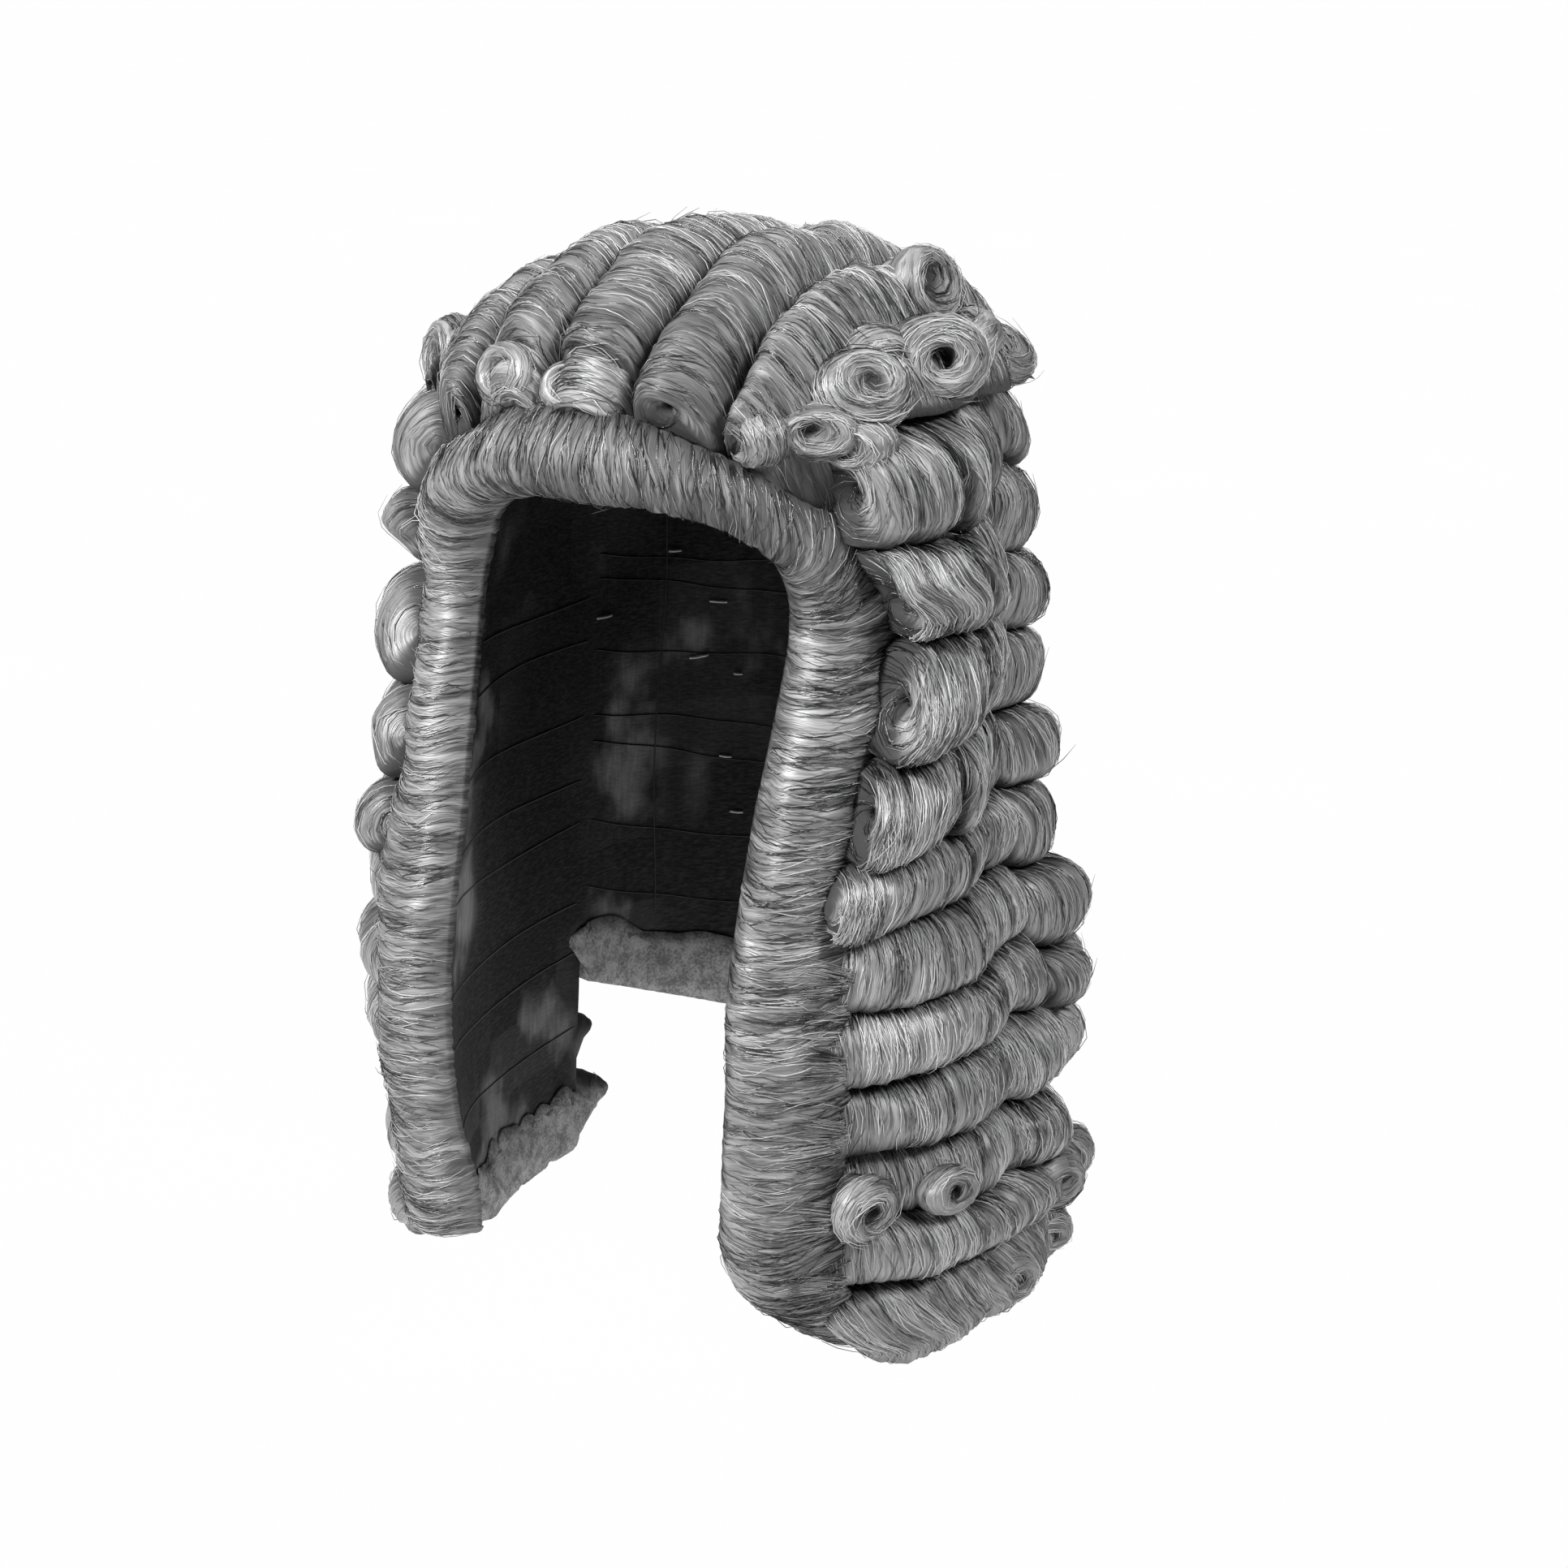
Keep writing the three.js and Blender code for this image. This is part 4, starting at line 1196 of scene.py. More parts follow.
@dataclass(frozen=True)
class LiningFinish:
    """Black net cap with hair showing through in places.

    Attributes:
        name: Name of the material.
        dark: Grey of the net.
        light: Grey of its threads.
        hair: Grey of the hair that shows through.
        panel: Size of the panels that differ in tone, in metres.
    """

    name: str = "black_net_lining"
    dark: float = 0.004
    light: float = 0.04
    hair: float = 0.2
    panel: tuple[float, float, float] = (0.047, 0.06, 0.034)

    def build(self) -> bpy.types.Material:
        """Builds the shader.

        Returns:
            The finished material.
        """
        bench = ShaderBench(self.name)
        where = bench.where()
        weave = bench.noise(where, (260, 260, 900))
        cloud = bench.noise(where, (13, 13, 8))
        patch = bench.noise(where, (30, 30, 24), 3.0)
        streak = bench.noise(where, (500, 500, 60))
        panel = bench.ink("ShaderNodeVectorMath", {"operation": "SNAP"}, {0: where, 1: self.panel})
        shade = bench.ink("ShaderNodeTexWhiteNoise", {"noise_dimensions": "3D"}, {"Vector": panel})
        fibre = 0.6 * weave.between(0.3, 0.8) + 0.7 * shade * cloud.between(0.35, 0.6)
        net = bench.mix(fibre, grey(self.dark), grey(self.light))
        share = patch.between(0.47, 0.66) * cloud.between(0.47, 0.6) * (0.3 + 0.7 * streak)
        return bench.finish(
            {
                "Base Color": bench.mix(share, net, grey(self.hair)),
                "Roughness": 0.72 + 0.2 * weave,
                "Specular IOR Level": 0.15,
                "Normal": bench.bump(weave + 0.5 * streak, 0.5, 0.0008),
            }
        )


@dataclass(frozen=True)
class ThreadFinish:
    """Sewing thread.

    Attributes:
        name: Name of the material.
        dark: Grey of the painted shade in the twist's grooves.
        light: Grey on the thread.
        rough: Roughness.
    """

    name: str
    dark: float
    light: float
    rough: float = 0.5

    def build(self) -> bpy.types.Material:
        """Builds the shader.

        Returns:
            The finished material.
        """
        bench = ShaderBench(self.name)
        where = bench.where()
        twist = bench.noise(where, (1200, 1200, 1200), 1.0)
        # Noise paints shade into the twist's grooves.
        colour = bench.mix(twist, grey(self.dark), grey(self.light))
        return bench.finish({"Base Color": colour, "Roughness": self.rough + 0.2 * twist})


@dataclass(frozen=True)
class FloorFinish:
    """Plain pale floor that is lit evenly, as a backdrop.

    Attributes:
        name: Name of the material.
        pale: Its grey.
        dim: How much of that its dimmest places have.
    """

    name: str = "pale_floor"
    pale: float = 0.93
    dim: float = 0.985

    def build(self) -> bpy.types.Material:
        """Builds the shader.

        Returns:
            The finished material.
        """
        bench = ShaderBench(self.name)
        where = bench.where()
        cloud = bench.noise(where, (3, 3, 3))
        seen = bench.ink("ShaderNodeLightPath", {}, {}, "Is Camera Ray")
        glowing = bench.mix(cloud, grey(self.dim), grey(1.0))
        glow = bench.ink("ShaderNodeEmission", {}, {"Color": glowing})
        plain = Ink(bench, bench.surface.outputs[0])
        shown = bench.ink("ShaderNodeMixShader", {}, {0: seen, 1: plain, 2: glow})
        bench.feed(bench.tree.nodes["Material Output"], "Surface", shown)
        colour = bench.mix(cloud, grey(self.pale * self.dim), grey(self.pale))
        return bench.finish({"Base Color": colour, "Roughness": 0.8 + 0.1 * cloud})


@dataclass(frozen=True)
class Finishes:
    """The finished materials of the wig."""

    hair: bpy.types.Material
    strand: bpy.types.Material
    lining: bpy.types.Material
    seam: bpy.types.Material
    stitch: bpy.types.Material


class StrandTree:
    """Geometry Nodes that turn bare lines into round strands."""

    def __init__(self, name: str) -> None:
        """Builds the node tree with its named inputs.

        Args:
            name: Name of the tree.
        """
        self.tree = bpy.data.node_groups.new(name, "GeometryNodeTree")
        face = self.tree.interface
        face.new_socket("Geometry", in_out="INPUT", socket_type="NodeSocketGeometry")
        kinds = {
            "Strand Radius": "NodeSocketFloat",
            "Sides": "NodeSocketInt",
            "Finish": "NodeSocketMaterial",
        }
        self.inputs = {
            key: face.new_socket(key, in_out="INPUT", socket_type=kind).identifier
            for key, kind in kinds.items()
        }
        face.new_socket("Geometry", in_out="OUTPUT", socket_type="NodeSocketGeometry")
        nodes = self.tree.nodes
        given, made = nodes.new("NodeGroupInput"), nodes.new("NodeGroupOutput")
        taper = nodes.new("GeometryNodeInputNamedAttribute")
        taper.inputs["Name"].default_value = "taper"
        curve = nodes.new("GeometryNodeMeshToCurve")
        circle = nodes.new("GeometryNodeCurvePrimitiveCircle")
        tube = nodes.new("GeometryNodeCurveToMesh")
        tube.inputs["Fill Caps"].default_value = True
        real = nodes.new("GeometryNodeRealizeInstances")
        finish = nodes.new("GeometryNodeSetMaterial")
        for source, output, target, key in (
            (given, "Geometry", curve, "Mesh"),
            (given, "Strand Radius", circle, "Radius"),
            (given, "Sides", circle, "Resolution"),
            (curve, "Curve", tube, "Curve"),
            (circle, "Curve", tube, "Profile Curve"),
            (taper, "Attribute", tube, "Scale"),
            (tube, "Mesh", real, "Geometry"),
            (real, "Geometry", finish, "Geometry"),
            (given, "Finish", finish, "Material"),
            (finish, "Geometry", made, "Geometry"),
        ):
            self.tree.links.new(source.outputs[output], target.inputs[key])

    def grow(
        self,
        name: str,
        lines: Sequence[Array],
        radius: float,
        sides: int,
        material: bpy.types.Material,
        tip: float = 1.0,
        tones: Sequence[Array] | None = None,
    ) -> bpy.types.Object:
        """Makes strands along lines.

        Args:
            name: Name of the object.
            lines: Points of each strand, in millimetres.
            radius: Radius of a strand, in millimetres.
            sides: Sides of its section.
            material: Its finish.
            tip: Share of the radius at both ends.
            tones: Tone from 0 to 1 along each strand, if they differ.

        Returns:
            The object with a plain mesh.
        """
        points = np.concatenate(lines) * MM
        ends = np.cumsum([len(line) for line in lines])
        first = np.arange(len(points) - 1)
        edges = np.stack([first, first + 1], axis=-1)[~np.isin(first + 1, ends)]
        mesh = bpy.data.meshes.new(name)
        mesh.vertices.add(len(points))
        mesh.vertices.foreach_set("co", points.astype(np.float32).ravel())
        mesh.edges.add(len(edges))
        mesh.edges.foreach_set("vertices", edges.astype(np.int32).ravel())
        tapers = [lerp(tip, 1.0, np.sin(np.pi * np.linspace(0, 1, len(line)))) for line in lines]
        write_values(mesh, "taper", tapers)
        write_values(mesh, "tone", tones or [np.full(len(points), 0.5)])
        mesh.update()
        made = place(name, mesh)
        modifier = made.modifiers.new("strands", "NODES")
        modifier.node_group = self.tree
        modifier[self.inputs["Strand Radius"]] = radius * MM
        modifier[self.inputs["Sides"]] = sides
        modifier[self.inputs["Finish"]] = material
        graph = bpy.context.evaluated_depsgraph_get()
        plain = bpy.data.meshes.new_from_object(made.evaluated_get(graph))
        made.modifiers.clear()
        made.data = plain
        plain.name = name
        plain.polygons.foreach_set("use_smooth", np.ones(len(plain.polygons), bool))
        return made


@dataclass(frozen=True)
class Strands:
    """How single strands lie over a surface of hair, in millimetres.

    Attributes:
        density: Strands on each square centimetre.
        shortest: Least length.
        longest: Greatest length.
        wisp: Distance between the wisps that the strands draw together in.
        step: Distance between two points of a strand.
        bias: How many more strands lie on the wearer's left than behind and on the right.
        loose: How freely they wave and stand off, against combed hair at 1.
        tone: Middle of their tones.
        seed: Seed of their places.
        COIL_DENSITY: How many more strands lie on a coiled end.
        NEAR_SIDE: Distances to the wearer's left between which the bias grows.
        MOST_GIRTH: Greatest share of the girth that a strand covers.
        DRAWN: How far a strand is drawn into its wisp.
        CLUMP_TONE: How much the tones of clumps differ.
        STRAND_TONE: How much the tones of single strands do.
        SHADE: How much painted shade darkens a strand that lies in a hollow or between rolls.
        CLUMP_LENGTH: Length of hair with one tone.
    """

    density: float = 4.0
    shortest: float = 16.0
    longest: float = 44.0
    wisp: float = 6.0
    step: float = 7.0
    bias: float = 0.0
    loose: float = 1.0
    tone: float = 0.5
    seed: int = 1
    COIL_DENSITY: ClassVar[float] = 1.5
    NEAR_SIDE: ClassVar[tuple[float, float]] = (50.0, 90.0)
    MOST_GIRTH: ClassVar[float] = 0.9
    DRAWN: ClassVar[float] = 0.85
    CLUMP_TONE: ClassVar[float] = 0.5
    STRAND_TONE: ClassVar[float] = 0.13
    SHADE: ClassVar[float] = 0.9
    CLUMP_LENGTH: ClassVar[float] = 30.0

    def lines(self, surface: HairSurface) -> tuple[list[Array], list[Array]]:
        """Draws the strands of a surface.

        Args:
            surface: The surface.

        Returns:
            Points of each strand, and the tone along it.
        """
        rng = np.random.default_rng(self.seed)
        greys = Noise(self.seed).table
        rows, columns = surface.points.shape[:2]
        steps = np.linalg.norm(np.diff(surface.points, axis=0), axis=-1)
        pitch = steps[:, surface.hidden :].mean(axis=1)
        girth = surface.along[:, -1] - surface.along[:, surface.hidden]
        share = pitch * girth[:-1] * (1 - surface.hollow.min(axis=1)[:-1])
        share[: surface.coiled] *= self.COIL_DENSITY
        share *= 1 + self.bias * smoothstep(surface.points[:-1, columns // 2, 0], *self.NEAR_SIDE)
        lines: list[Array] = []
        tones: list[Array] = []
        count = int(self.density * share.sum() / 100)
        for start in rng.choice(rows - 1, count, p=share / share.sum()):
            coiled = start < surface.coiled
            arc = surface.along[start]
            whole = arc[-1] if coiled else girth[start]
            length = min(rng.uniform(self.shortest, self.longest), self.MOST_GIRTH * whole)
            t = np.linspace(0, 1, max(int(length / self.step) + 2, 4))
            if coiled:
                root = rng.uniform(0, whole)
            else:
                root = arc[surface.hidden] + rng.uniform(0, whole - length)
            spot = (root + length * t) % arc[-1]
            wisp = max(self.wisp / pitch[start], 1.0)
            number = int(start / wisp)
            if coiled:
                run = start + rng.random() + 0.9 * surface.coiled * length / whole * (t - 0.5)
            else:
                middle = (number + 0.5 + 0.3 * rng.normal()) * wisp
                bow = rng.normal(0, 1.2) * np.sin(np.pi * t)
                bow += rng.normal(0, 0.8) * np.sin(2 * np.pi * t)
                bow *= self.loose / pitch[start]
                run = start + rng.random() + (middle - start) * self.DRAWN * t**1.5 + bow
            column = np.interp(spot, arc, np.arange(columns + 1))
            lift = rng.uniform(0.05, 0.5)
            lift = lift + rng.exponential(0.4) * self.loose * np.sin(np.pi * t) ** 2
            flick = rng.exponential(1.2) * t**3 * (rng.random() < 0.4)
            lines.append(surface.at(run, column, lift + flick))
            clump = greys[number % Noise.SIZE, int(root / self.CLUMP_LENGTH) % Noise.SIZE]
            tone = self.tone + self.CLUMP_TONE * clump + self.STRAND_TONE * rng.normal()
            # Painted shade: a strand is darker where the surface under it is shaded.
            ring = np.clip(run, 0, rows - 1).astype(int)
            dark = surface.hollow[ring, column.astype(int) % columns]
            tones.append(tone - self.SHADE * dark)
        return lines, tones


@dataclass
class Piece:
    """A sub-assembly that attaches its objects to the frame."""

    slot: str = "hair"
    form: CapForm = field(default_factory=CapForm)

    def attach(self, made: bpy.types.Object, *nodes: str) -> bpy.types.Object:
        """Lets an object ride on the frame in place of CAD nodes.

        Args:
            made: The object.
            nodes: Names of the nodes that it stands for.

        Returns:
            The object.
        """
        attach(made, "root")
        if nodes:
            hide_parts(*nodes)
        LOG.info("%s: %d faces", made.name, len(made.data.polygons))
        return made

    def join(self, node: str, surfaces: Sequence[HairSurface], finishes: Finishes) -> None:
        """Makes one object of surfaces of hair.

        Args:
            node: Name of the node that it stands for.
            surfaces: The surfaces.
            finishes: The materials.
        """
        bench = MeshBench()
        for surface in surfaces:
            bench.add(surface)
        self.attach(bench.finish(f"{node}_hair", finishes.hair), node)


@dataclass(frozen=True)
class CrownSpec:
    """A roll over the crown: middle, width, beginning, end, depths and its open side."""

    name: str
    x: float
    start: float
    stop: float
    front: float
    back: float
    open_side: int = 0
    width: float = 39.0


CROWN_SPECS = (
    CrownSpec(
        "right_temple_roll", x=-111, start=-68, stop=88, front=45, back=42, open_side=-1, width=27
    ),
    CrownSpec("crown_roll_1", x=-78, start=-102, stop=98, front=41, back=40),
    CrownSpec("crown_roll_2", x=-39, start=-88, stop=108, front=42, back=36),
    CrownSpec("crown_roll_3", x=0, start=-88, stop=111, front=43, back=34),
    CrownSpec("crown_roll_4", x=39, start=-103, stop=108, front=42, back=38),
    CrownSpec("crown_roll_5", x=78, start=-102, stop=98, front=45, back=44),
    CrownSpec(
        "left_temple_roll", x=111, start=-68, stop=88, front=48, back=44, open_side=1, width=27
    ),
    CrownSpec("brow_curl_1", x=-39, start=-106, stop=-90, front=34, back=38),
    CrownSpec("brow_curl_2", x=0, start=-106, stop=-90, front=34, back=38),
)


@dataclass(frozen=True)
class Perch:
    """Where a curl sits on a roll.

    Attributes:
        along: Share of the roll's length.
        around: Share of its width.
        curl: The curl.
        rise: How far it stands out, in millimetres.
        lean: How far it leans forwards.
        FORWARDS: The way that it leans.
    """

    along: float
    around: float
    curl: Curl
    rise: float = 4.0
    lean: float = 0.8
    FORWARDS: ClassVar[tuple[float, float, float]] = (0.35, -0.9, 0.0)

    def build(self, surface: HairSurface, rings: int) -> HairSurface:
        """Sets the curl on a roll.

        Args:
            surface: The roll's surface.
            rings: The roll's rings between its ends.

        Returns:
            The curl's surface.
        """
        columns = surface.points.shape[1] - surface.hidden
        row = surface.coiled + round(self.along * rings)
        column = surface.hidden + int(self.around * (columns - 1))
        normal = surface.normals[row, column]
        at = surface.points[row, column] + self.rise * normal
        return self.curl.build(at, normal + self.lean * np.array(self.FORWARDS))


CROWN_CURLS = {
    "left_temple_roll": (
        Perch(along=0.04, around=0.5, curl=Curl(18, seed=21), rise=7.0, lean=0.5),
        Perch(
            along=0.28, around=0.62, curl=Curl(20, mouth=0.34, sunk=11, seed=22), rise=8.0, lean=0.5
        ),
        Perch(along=0.52, around=0.4, curl=Curl(15, seed=23), rise=6.0, lean=0.4),
        Perch(along=0.8, around=0.5, curl=Curl(17, length=12, seed=24), rise=3.0, lean=0.25),
    ),
    "crown_roll_5": (
        Perch(along=-0.04, around=0.85, curl=Curl(13, seed=20), rise=3.0),
        Perch(along=0.1, around=0.78, curl=Curl(16, seed=25), rise=7.0),
        Perch(
            along=0.3, around=0.85, curl=Curl(18, mouth=0.28, sunk=10, seed=26), rise=7.0, lean=0.5
        ),
        Perch(along=0.55, around=0.7, curl=Curl(17, seed=27), rise=7.0, lean=0.3),
    ),
    "crown_roll_4": (Perch(along=0.62, around=0.1, curl=Curl(17, seed=28), rise=9.0),),
    "crown_roll_1": (Perch(along=0.2, around=0.3, curl=Curl(16, seed=29)),),
    "brow_curl_1": (Perch(along=0.3, around=0.5, curl=Curl(15, length=10, seed=32), rise=1.0),),
    "brow_curl_2": (Perch(along=0.3, around=0.4, curl=Curl(13, length=10, seed=33), rise=0.0),),
    "right_temple_roll": (
        Perch(along=0.1, around=0.4, curl=Curl(17, seed=30)),
        Perch(along=0.4, around=0.4, curl=Curl(18, seed=31)),
    ),
}


@dataclass
class CrownRolls(Piece):
    """The rolls that run front to back over the crown.

    Attributes:
        spacing: Distance between two rings.
        overlap: How far a roll begins before its CAD solid.
        least: Least thickness of a roll.
        base_steps: Points against the cap.
        bulge_steps: Steps over the swelling.
        dusk: Painted shade on the rolls in front.
        comb: How their hair is combed.
        end: Their front ends.
    """

    spacing: float = 2.2
    overlap: float = 7.0
    least: float = 3.0
    base_steps: int = 4
    bulge_steps: int = 17
    dusk: float = 0.3
    comb: Comb = Comb(wisp=7.5, wisp_rise=1.5, strand=3.0, strand_rise=0.3, sway=4.0)
    end: RollEnd = RollEnd(
        EndStyle.HOLLOW, centre=0.62, rim=0.8, rounding=12.0, mouth=0.15, sunk=9.0, step=1.2
    )

    def rings(self, spec: CrownSpec, seed: int) -> Array:
        """Works out a roll's rings.

        Args:
            spec: The roll.
            seed: Seed of its uneven depth.

        Returns:
            The rings from front to back, in millimetres.
        """
        base = CROWN_BASE + HALF_GAP - PIVOT_HEIGHT
        noise = Noise(seed)
        along = np.linspace(0, 1, max(int((spec.stop - spec.start) * 1.12 / self.spacing), 24))
        y = lerp(spec.start - self.overlap, spec.stop, along)
        tilt = np.arctan2(y, base)
        level = base / np.cos(tilt)
        depth = lerp(spec.front, spec.back, along) * (1 + 0.05 * noise.at(y / 24, 0.5))
        spread = self.form.dome_spread(tilt, depth, level + self.least)
        left = np.maximum(spec.x - spec.width / 2 + HALF_GAP, -spread)
        right = np.minimum(spec.x + spec.width / 2 - HALF_GAP, spread)
        share = np.linspace(0, 1, self.base_steps)[None]
        base_x = lerp(right[:, None], left[:, None], share)
        dome = self.form.dome_reach(base_x, tilt[:, None], CURL_START + HALF_GAP)
        inner = np.maximum(dome, self.form.crown_floor(base_x, tilt[:, None]))
        turn = np.pi * (np.linspace(0, 1, self.bulge_steps + 1) - 0.5)
        bulge_x = lerp(left[:, None], right[:, None], 0.5 + 0.5 * np.sin(turn)[None])
        swell = 0.5 + 0.5 * np.clip(np.cos(turn), 0, 1) ** 0.9
        swell = np.where(spec.open_side * turn > 0, 1.0, swell)
        outer = self.form.dome_reach(bulge_x, tilt[:, None], depth[:, None] * swell[None])
        outer = np.maximum(outer, self.form.crown_floor(bulge_x, tilt[:, None]) + self.least)
        x = np.concatenate([base_x, bulge_x], axis=1)
        r = np.concatenate([inner, outer], axis=1)
        sine, cosine = np.sin(tilt)[:, None], np.cos(tilt)[:, None]
        points = np.stack([x, r * sine, PIVOT_HEIGHT + r * cosine], axis=-1)
        swing = np.maximum(0.3 + 0.7 * np.clip(np.cos(turn), 0, 1), spec.open_side * turn > 0)
        swung = np.repeat(swing[None], len(points), axis=0)
        stood = 0.15 + 0.85 * smoothstep(inner - dome, 0, 18)
        return DRIFT.moved(points, np.concatenate([stood, swung], axis=1))

    def build(self, finishes: Finishes) -> list[HairSurface]:
        """Makes every roll.

        Args:
            finishes: The materials.

        Returns:
            The surfaces, for loose hairs.
        """
        surfaces: list[HairSurface] = []
        for number, spec in enumerate(CROWN_SPECS):
            rings = self.rings(spec, 150 + number)
            comb = replace(self.comb, seed=100 + number)
            roll = Roll(
                rings, self.base_steps, comb, self.end, spacing=self.spacing, dusk=self.dusk
            )
            made = [roll.build()]
            made += [perch.build(made[0], len(rings)) for perch in CROWN_CURLS.get(spec.name, ())]
            self.join(spec.name, made, finishes)
            surfaces.extend(made)
        return surfaces


# Curls on the left rows, by the numbers of the row and of its curl, with the hem as the last row.
LAPPET_CURLS = {
    (0, 0): (Perch(along=0.0, around=0.88, curl=Curl(14, seed=54), rise=2.0),),
    (9, 1): (Perch(along=0.5, around=0.5, curl=Curl(15, seed=51), rise=1.0),),
    (10, 1): (Perch(along=0.5, around=0.5, curl=Curl(13, seed=52), rise=1.0),),
    (10, 2): (Perch(along=0.6, around=0.5, curl=Curl(14, seed=53), rise=1.0),),
}


@dataclass(frozen=True)
class RowSpec:
    """A row of curls at one side, in millimetres.

    Attributes:
        top: Height of its upper edge.
        bottom: Height of its lower edge.
        front: Depth in front.
        rear: Depth at the rear.
        end: How its front curl ends.
        partings: Shares of the row where its curls begin and end.
        slant: Degrees that its rear end leans out.
        clear: Distance from the face roll.
        inner: Where its hair begins, out of the cap.
        droop: How far its lower edge hangs.
        far: Depth on the wearer's right as a share of that on the left.
    """

    top: float
    bottom: float
    front: float
    rear: float
    end: EndStyle
    partings: tuple[float, ...] = (0.0, 0.76, 1.0)
    slant: float = 0.0
    clear: float = 1.8
    inner: float = CURL_START
    droop: float = 0.0
    far: float = 1.0


COILED, SHELL, SOFT = EndStyle.HOLLOW, EndStyle.EYE, EndStyle.SOFT
SIDE_SPECS = (
    RowSpec(-34, -80, 60, 38, COILED, (0.0, 0.42, 0.76, 1.0), far=0.85),
    RowSpec(-80, -121, 66, 37, COILED, (0.0, 0.38, 0.76, 1.0), clear=4.0, far=0.85),
    RowSpec(-121, -163, 67, 37, COILED, (0.0, 0.46, 0.78, 1.0), far=0.84),
    RowSpec(-163, -203, 62, 40, COILED, (0.0, 0.4, 0.74, 1.0), far=0.88),
    RowSpec(-203, -236, 54, 45, SHELL, far=0.88),
    RowSpec(-236, -268, 51, 47, SOFT, (0.0, 0.7, 1.0), far=1.1),
    RowSpec(-268, -301, 50, 56, SOFT, (0.0, 0.8, 1.0), far=1.12),
    RowSpec(-301, -335, 48, 62, SOFT, (0.0, 0.72, 1.0), far=1.1),
    RowSpec(-335, -368, 34, 66, SOFT, (0.0, 0.78, 1.0), far=1.1),
    RowSpec(-368, LAPPET_LINING_END, 44, 60, SOFT, (0.0, 0.5, 1.0), slant=REAR_SLANT),
)
HEM_SPEC = RowSpec(
    LAPPET_LINING_END,
    LAPPET_HEM,
    front=42,
    rear=47,
    end=SOFT,
    partings=(0.0, 0.36, 0.7, 1.0),
    slant=REAR_SLANT,
    clear=3.0,
    inner=-CAP_WALL,
    droop=HEM_DROOP,
)


@dataclass(frozen=True)
class RingSpec:
    """A ring curl: its bearing, height, radius and distance out of the cap."""

    bearing: float
    z: float
    radius: float
    grown: float


RING_SPECS = (
    RingSpec(bearing=119.5, z=-351.0, radius=15.5, grown=42.0),
    RingSpec(bearing=106.0, z=-351.5, radius=15.0, grown=51.0),
)
RING_CURL = Curl(15.0, 12.0, flare=1.1, rim=0.76, mouth=0.32, sunk=5.0, turns=1.2)
ROW_ENDS = {
    COILED: RollEnd(
        COILED,
        centre=0.66,
        rim=0.84,
        rounding=12.0,
        mouth=0.15,
        sunk=10.0,
        turns=1.8,
        step=1.3,
        dish=6.0,
    ),
    SHELL: RollEnd(SHELL, centre=0.66, rim=0.8, rounding=16.0, sunk=5.0, turns=1.6, step=1.2),
    SOFT: RollEnd(SOFT, centre=0.6, rim=0.7, rounding=11.0, sunk=2.0, step=0.8),
}
UPPER_ROWS = 5
FEW_WISPS = 11
MANY_WISPS = 18
FLAP_HEIGHTS = (0.0, 1.0, 1.0, 0.8, 0.6, 0.4, 0.2, 0.0)
FLAP_GROWN = (-0.4, -0.4, -1.2, -2.6, -3.4, -3.6, -3.2, -2.4)
FLAP_LUMPS = (0, 0, 0.3, 1, 1, 1, 1, 0.6)
FLAP_LEAST = -0.4
SCALLOP = 8.0


def curl_swell(along: Array, from_parting: Array) -> Array:
    """Returns the depth along a row: full on each curl, drawn in between curls and at the ends."""
    ends = lerp(0.9, 1.0, smoothstep(np.minimum(along, 1 - along), 0, 0.12))
    return ends * (0.88 + 0.12 * np.sqrt(from_parting))


def section_shares(inner_steps: int, bulge_steps: int) -> tuple[Array, Array]:
    """Lists a row's section: flat on the cap from top to bottom, then swelling back up.

    Args:
        inner_steps: Points against the cap.
        bulge_steps: Steps over the swelling.

    Returns:
        Share of the height from the top, and share of the depth, for each point.
    """
    turn = np.pi * (np.linspace(0, 1, bulge_steps + 1) - 0.5)
    swell = 0.6 + 0.4 * np.clip(np.cos(turn), 0, 1) ** 0.8
    height = np.concatenate([np.linspace(0, 1, inner_steps), 0.5 - 0.5 * np.sin(turn)])
    return height, np.concatenate([np.zeros(inner_steps), swell])


def felted_flap(
    along: Array, top: Array, bottom: Array, seed: int, scallops: float
) -> tuple[Array, Array]:
    """Shapes the felted hair that is turned up inside a hem, with a scalloped upper edge.

    Args:
        along: Shares along the hem, as a column.
        top: Height of the lining's edge there.
        bottom: Height of the hem there.
        seed: Seed of its lumps.
        scallops: Scallops along the edge.

    Returns:
        Height and growth of each point of its closed sections.
    """
    noise = Noise(seed)
    height = np.array(FLAP_HEIGHTS)[None]
    level = top + 1.0 + SCALLOP * np.abs(noise.at(along * scallops, 0.3)) ** 0.7
    z = lerp(bottom + 2.0, level, height)
    coarse = 1.3 * noise.at(along * 1.6 * scallops, height * 2.5)
    lump = coarse + 0.9 * noise.at(along * 4 * scallops, height * 6 + 9)
    grown = np.array(FLAP_GROWN)[None] + np.array(FLAP_LUMPS)[None] * lump
    return z, np.minimum(grown, FLAP_LEAST)


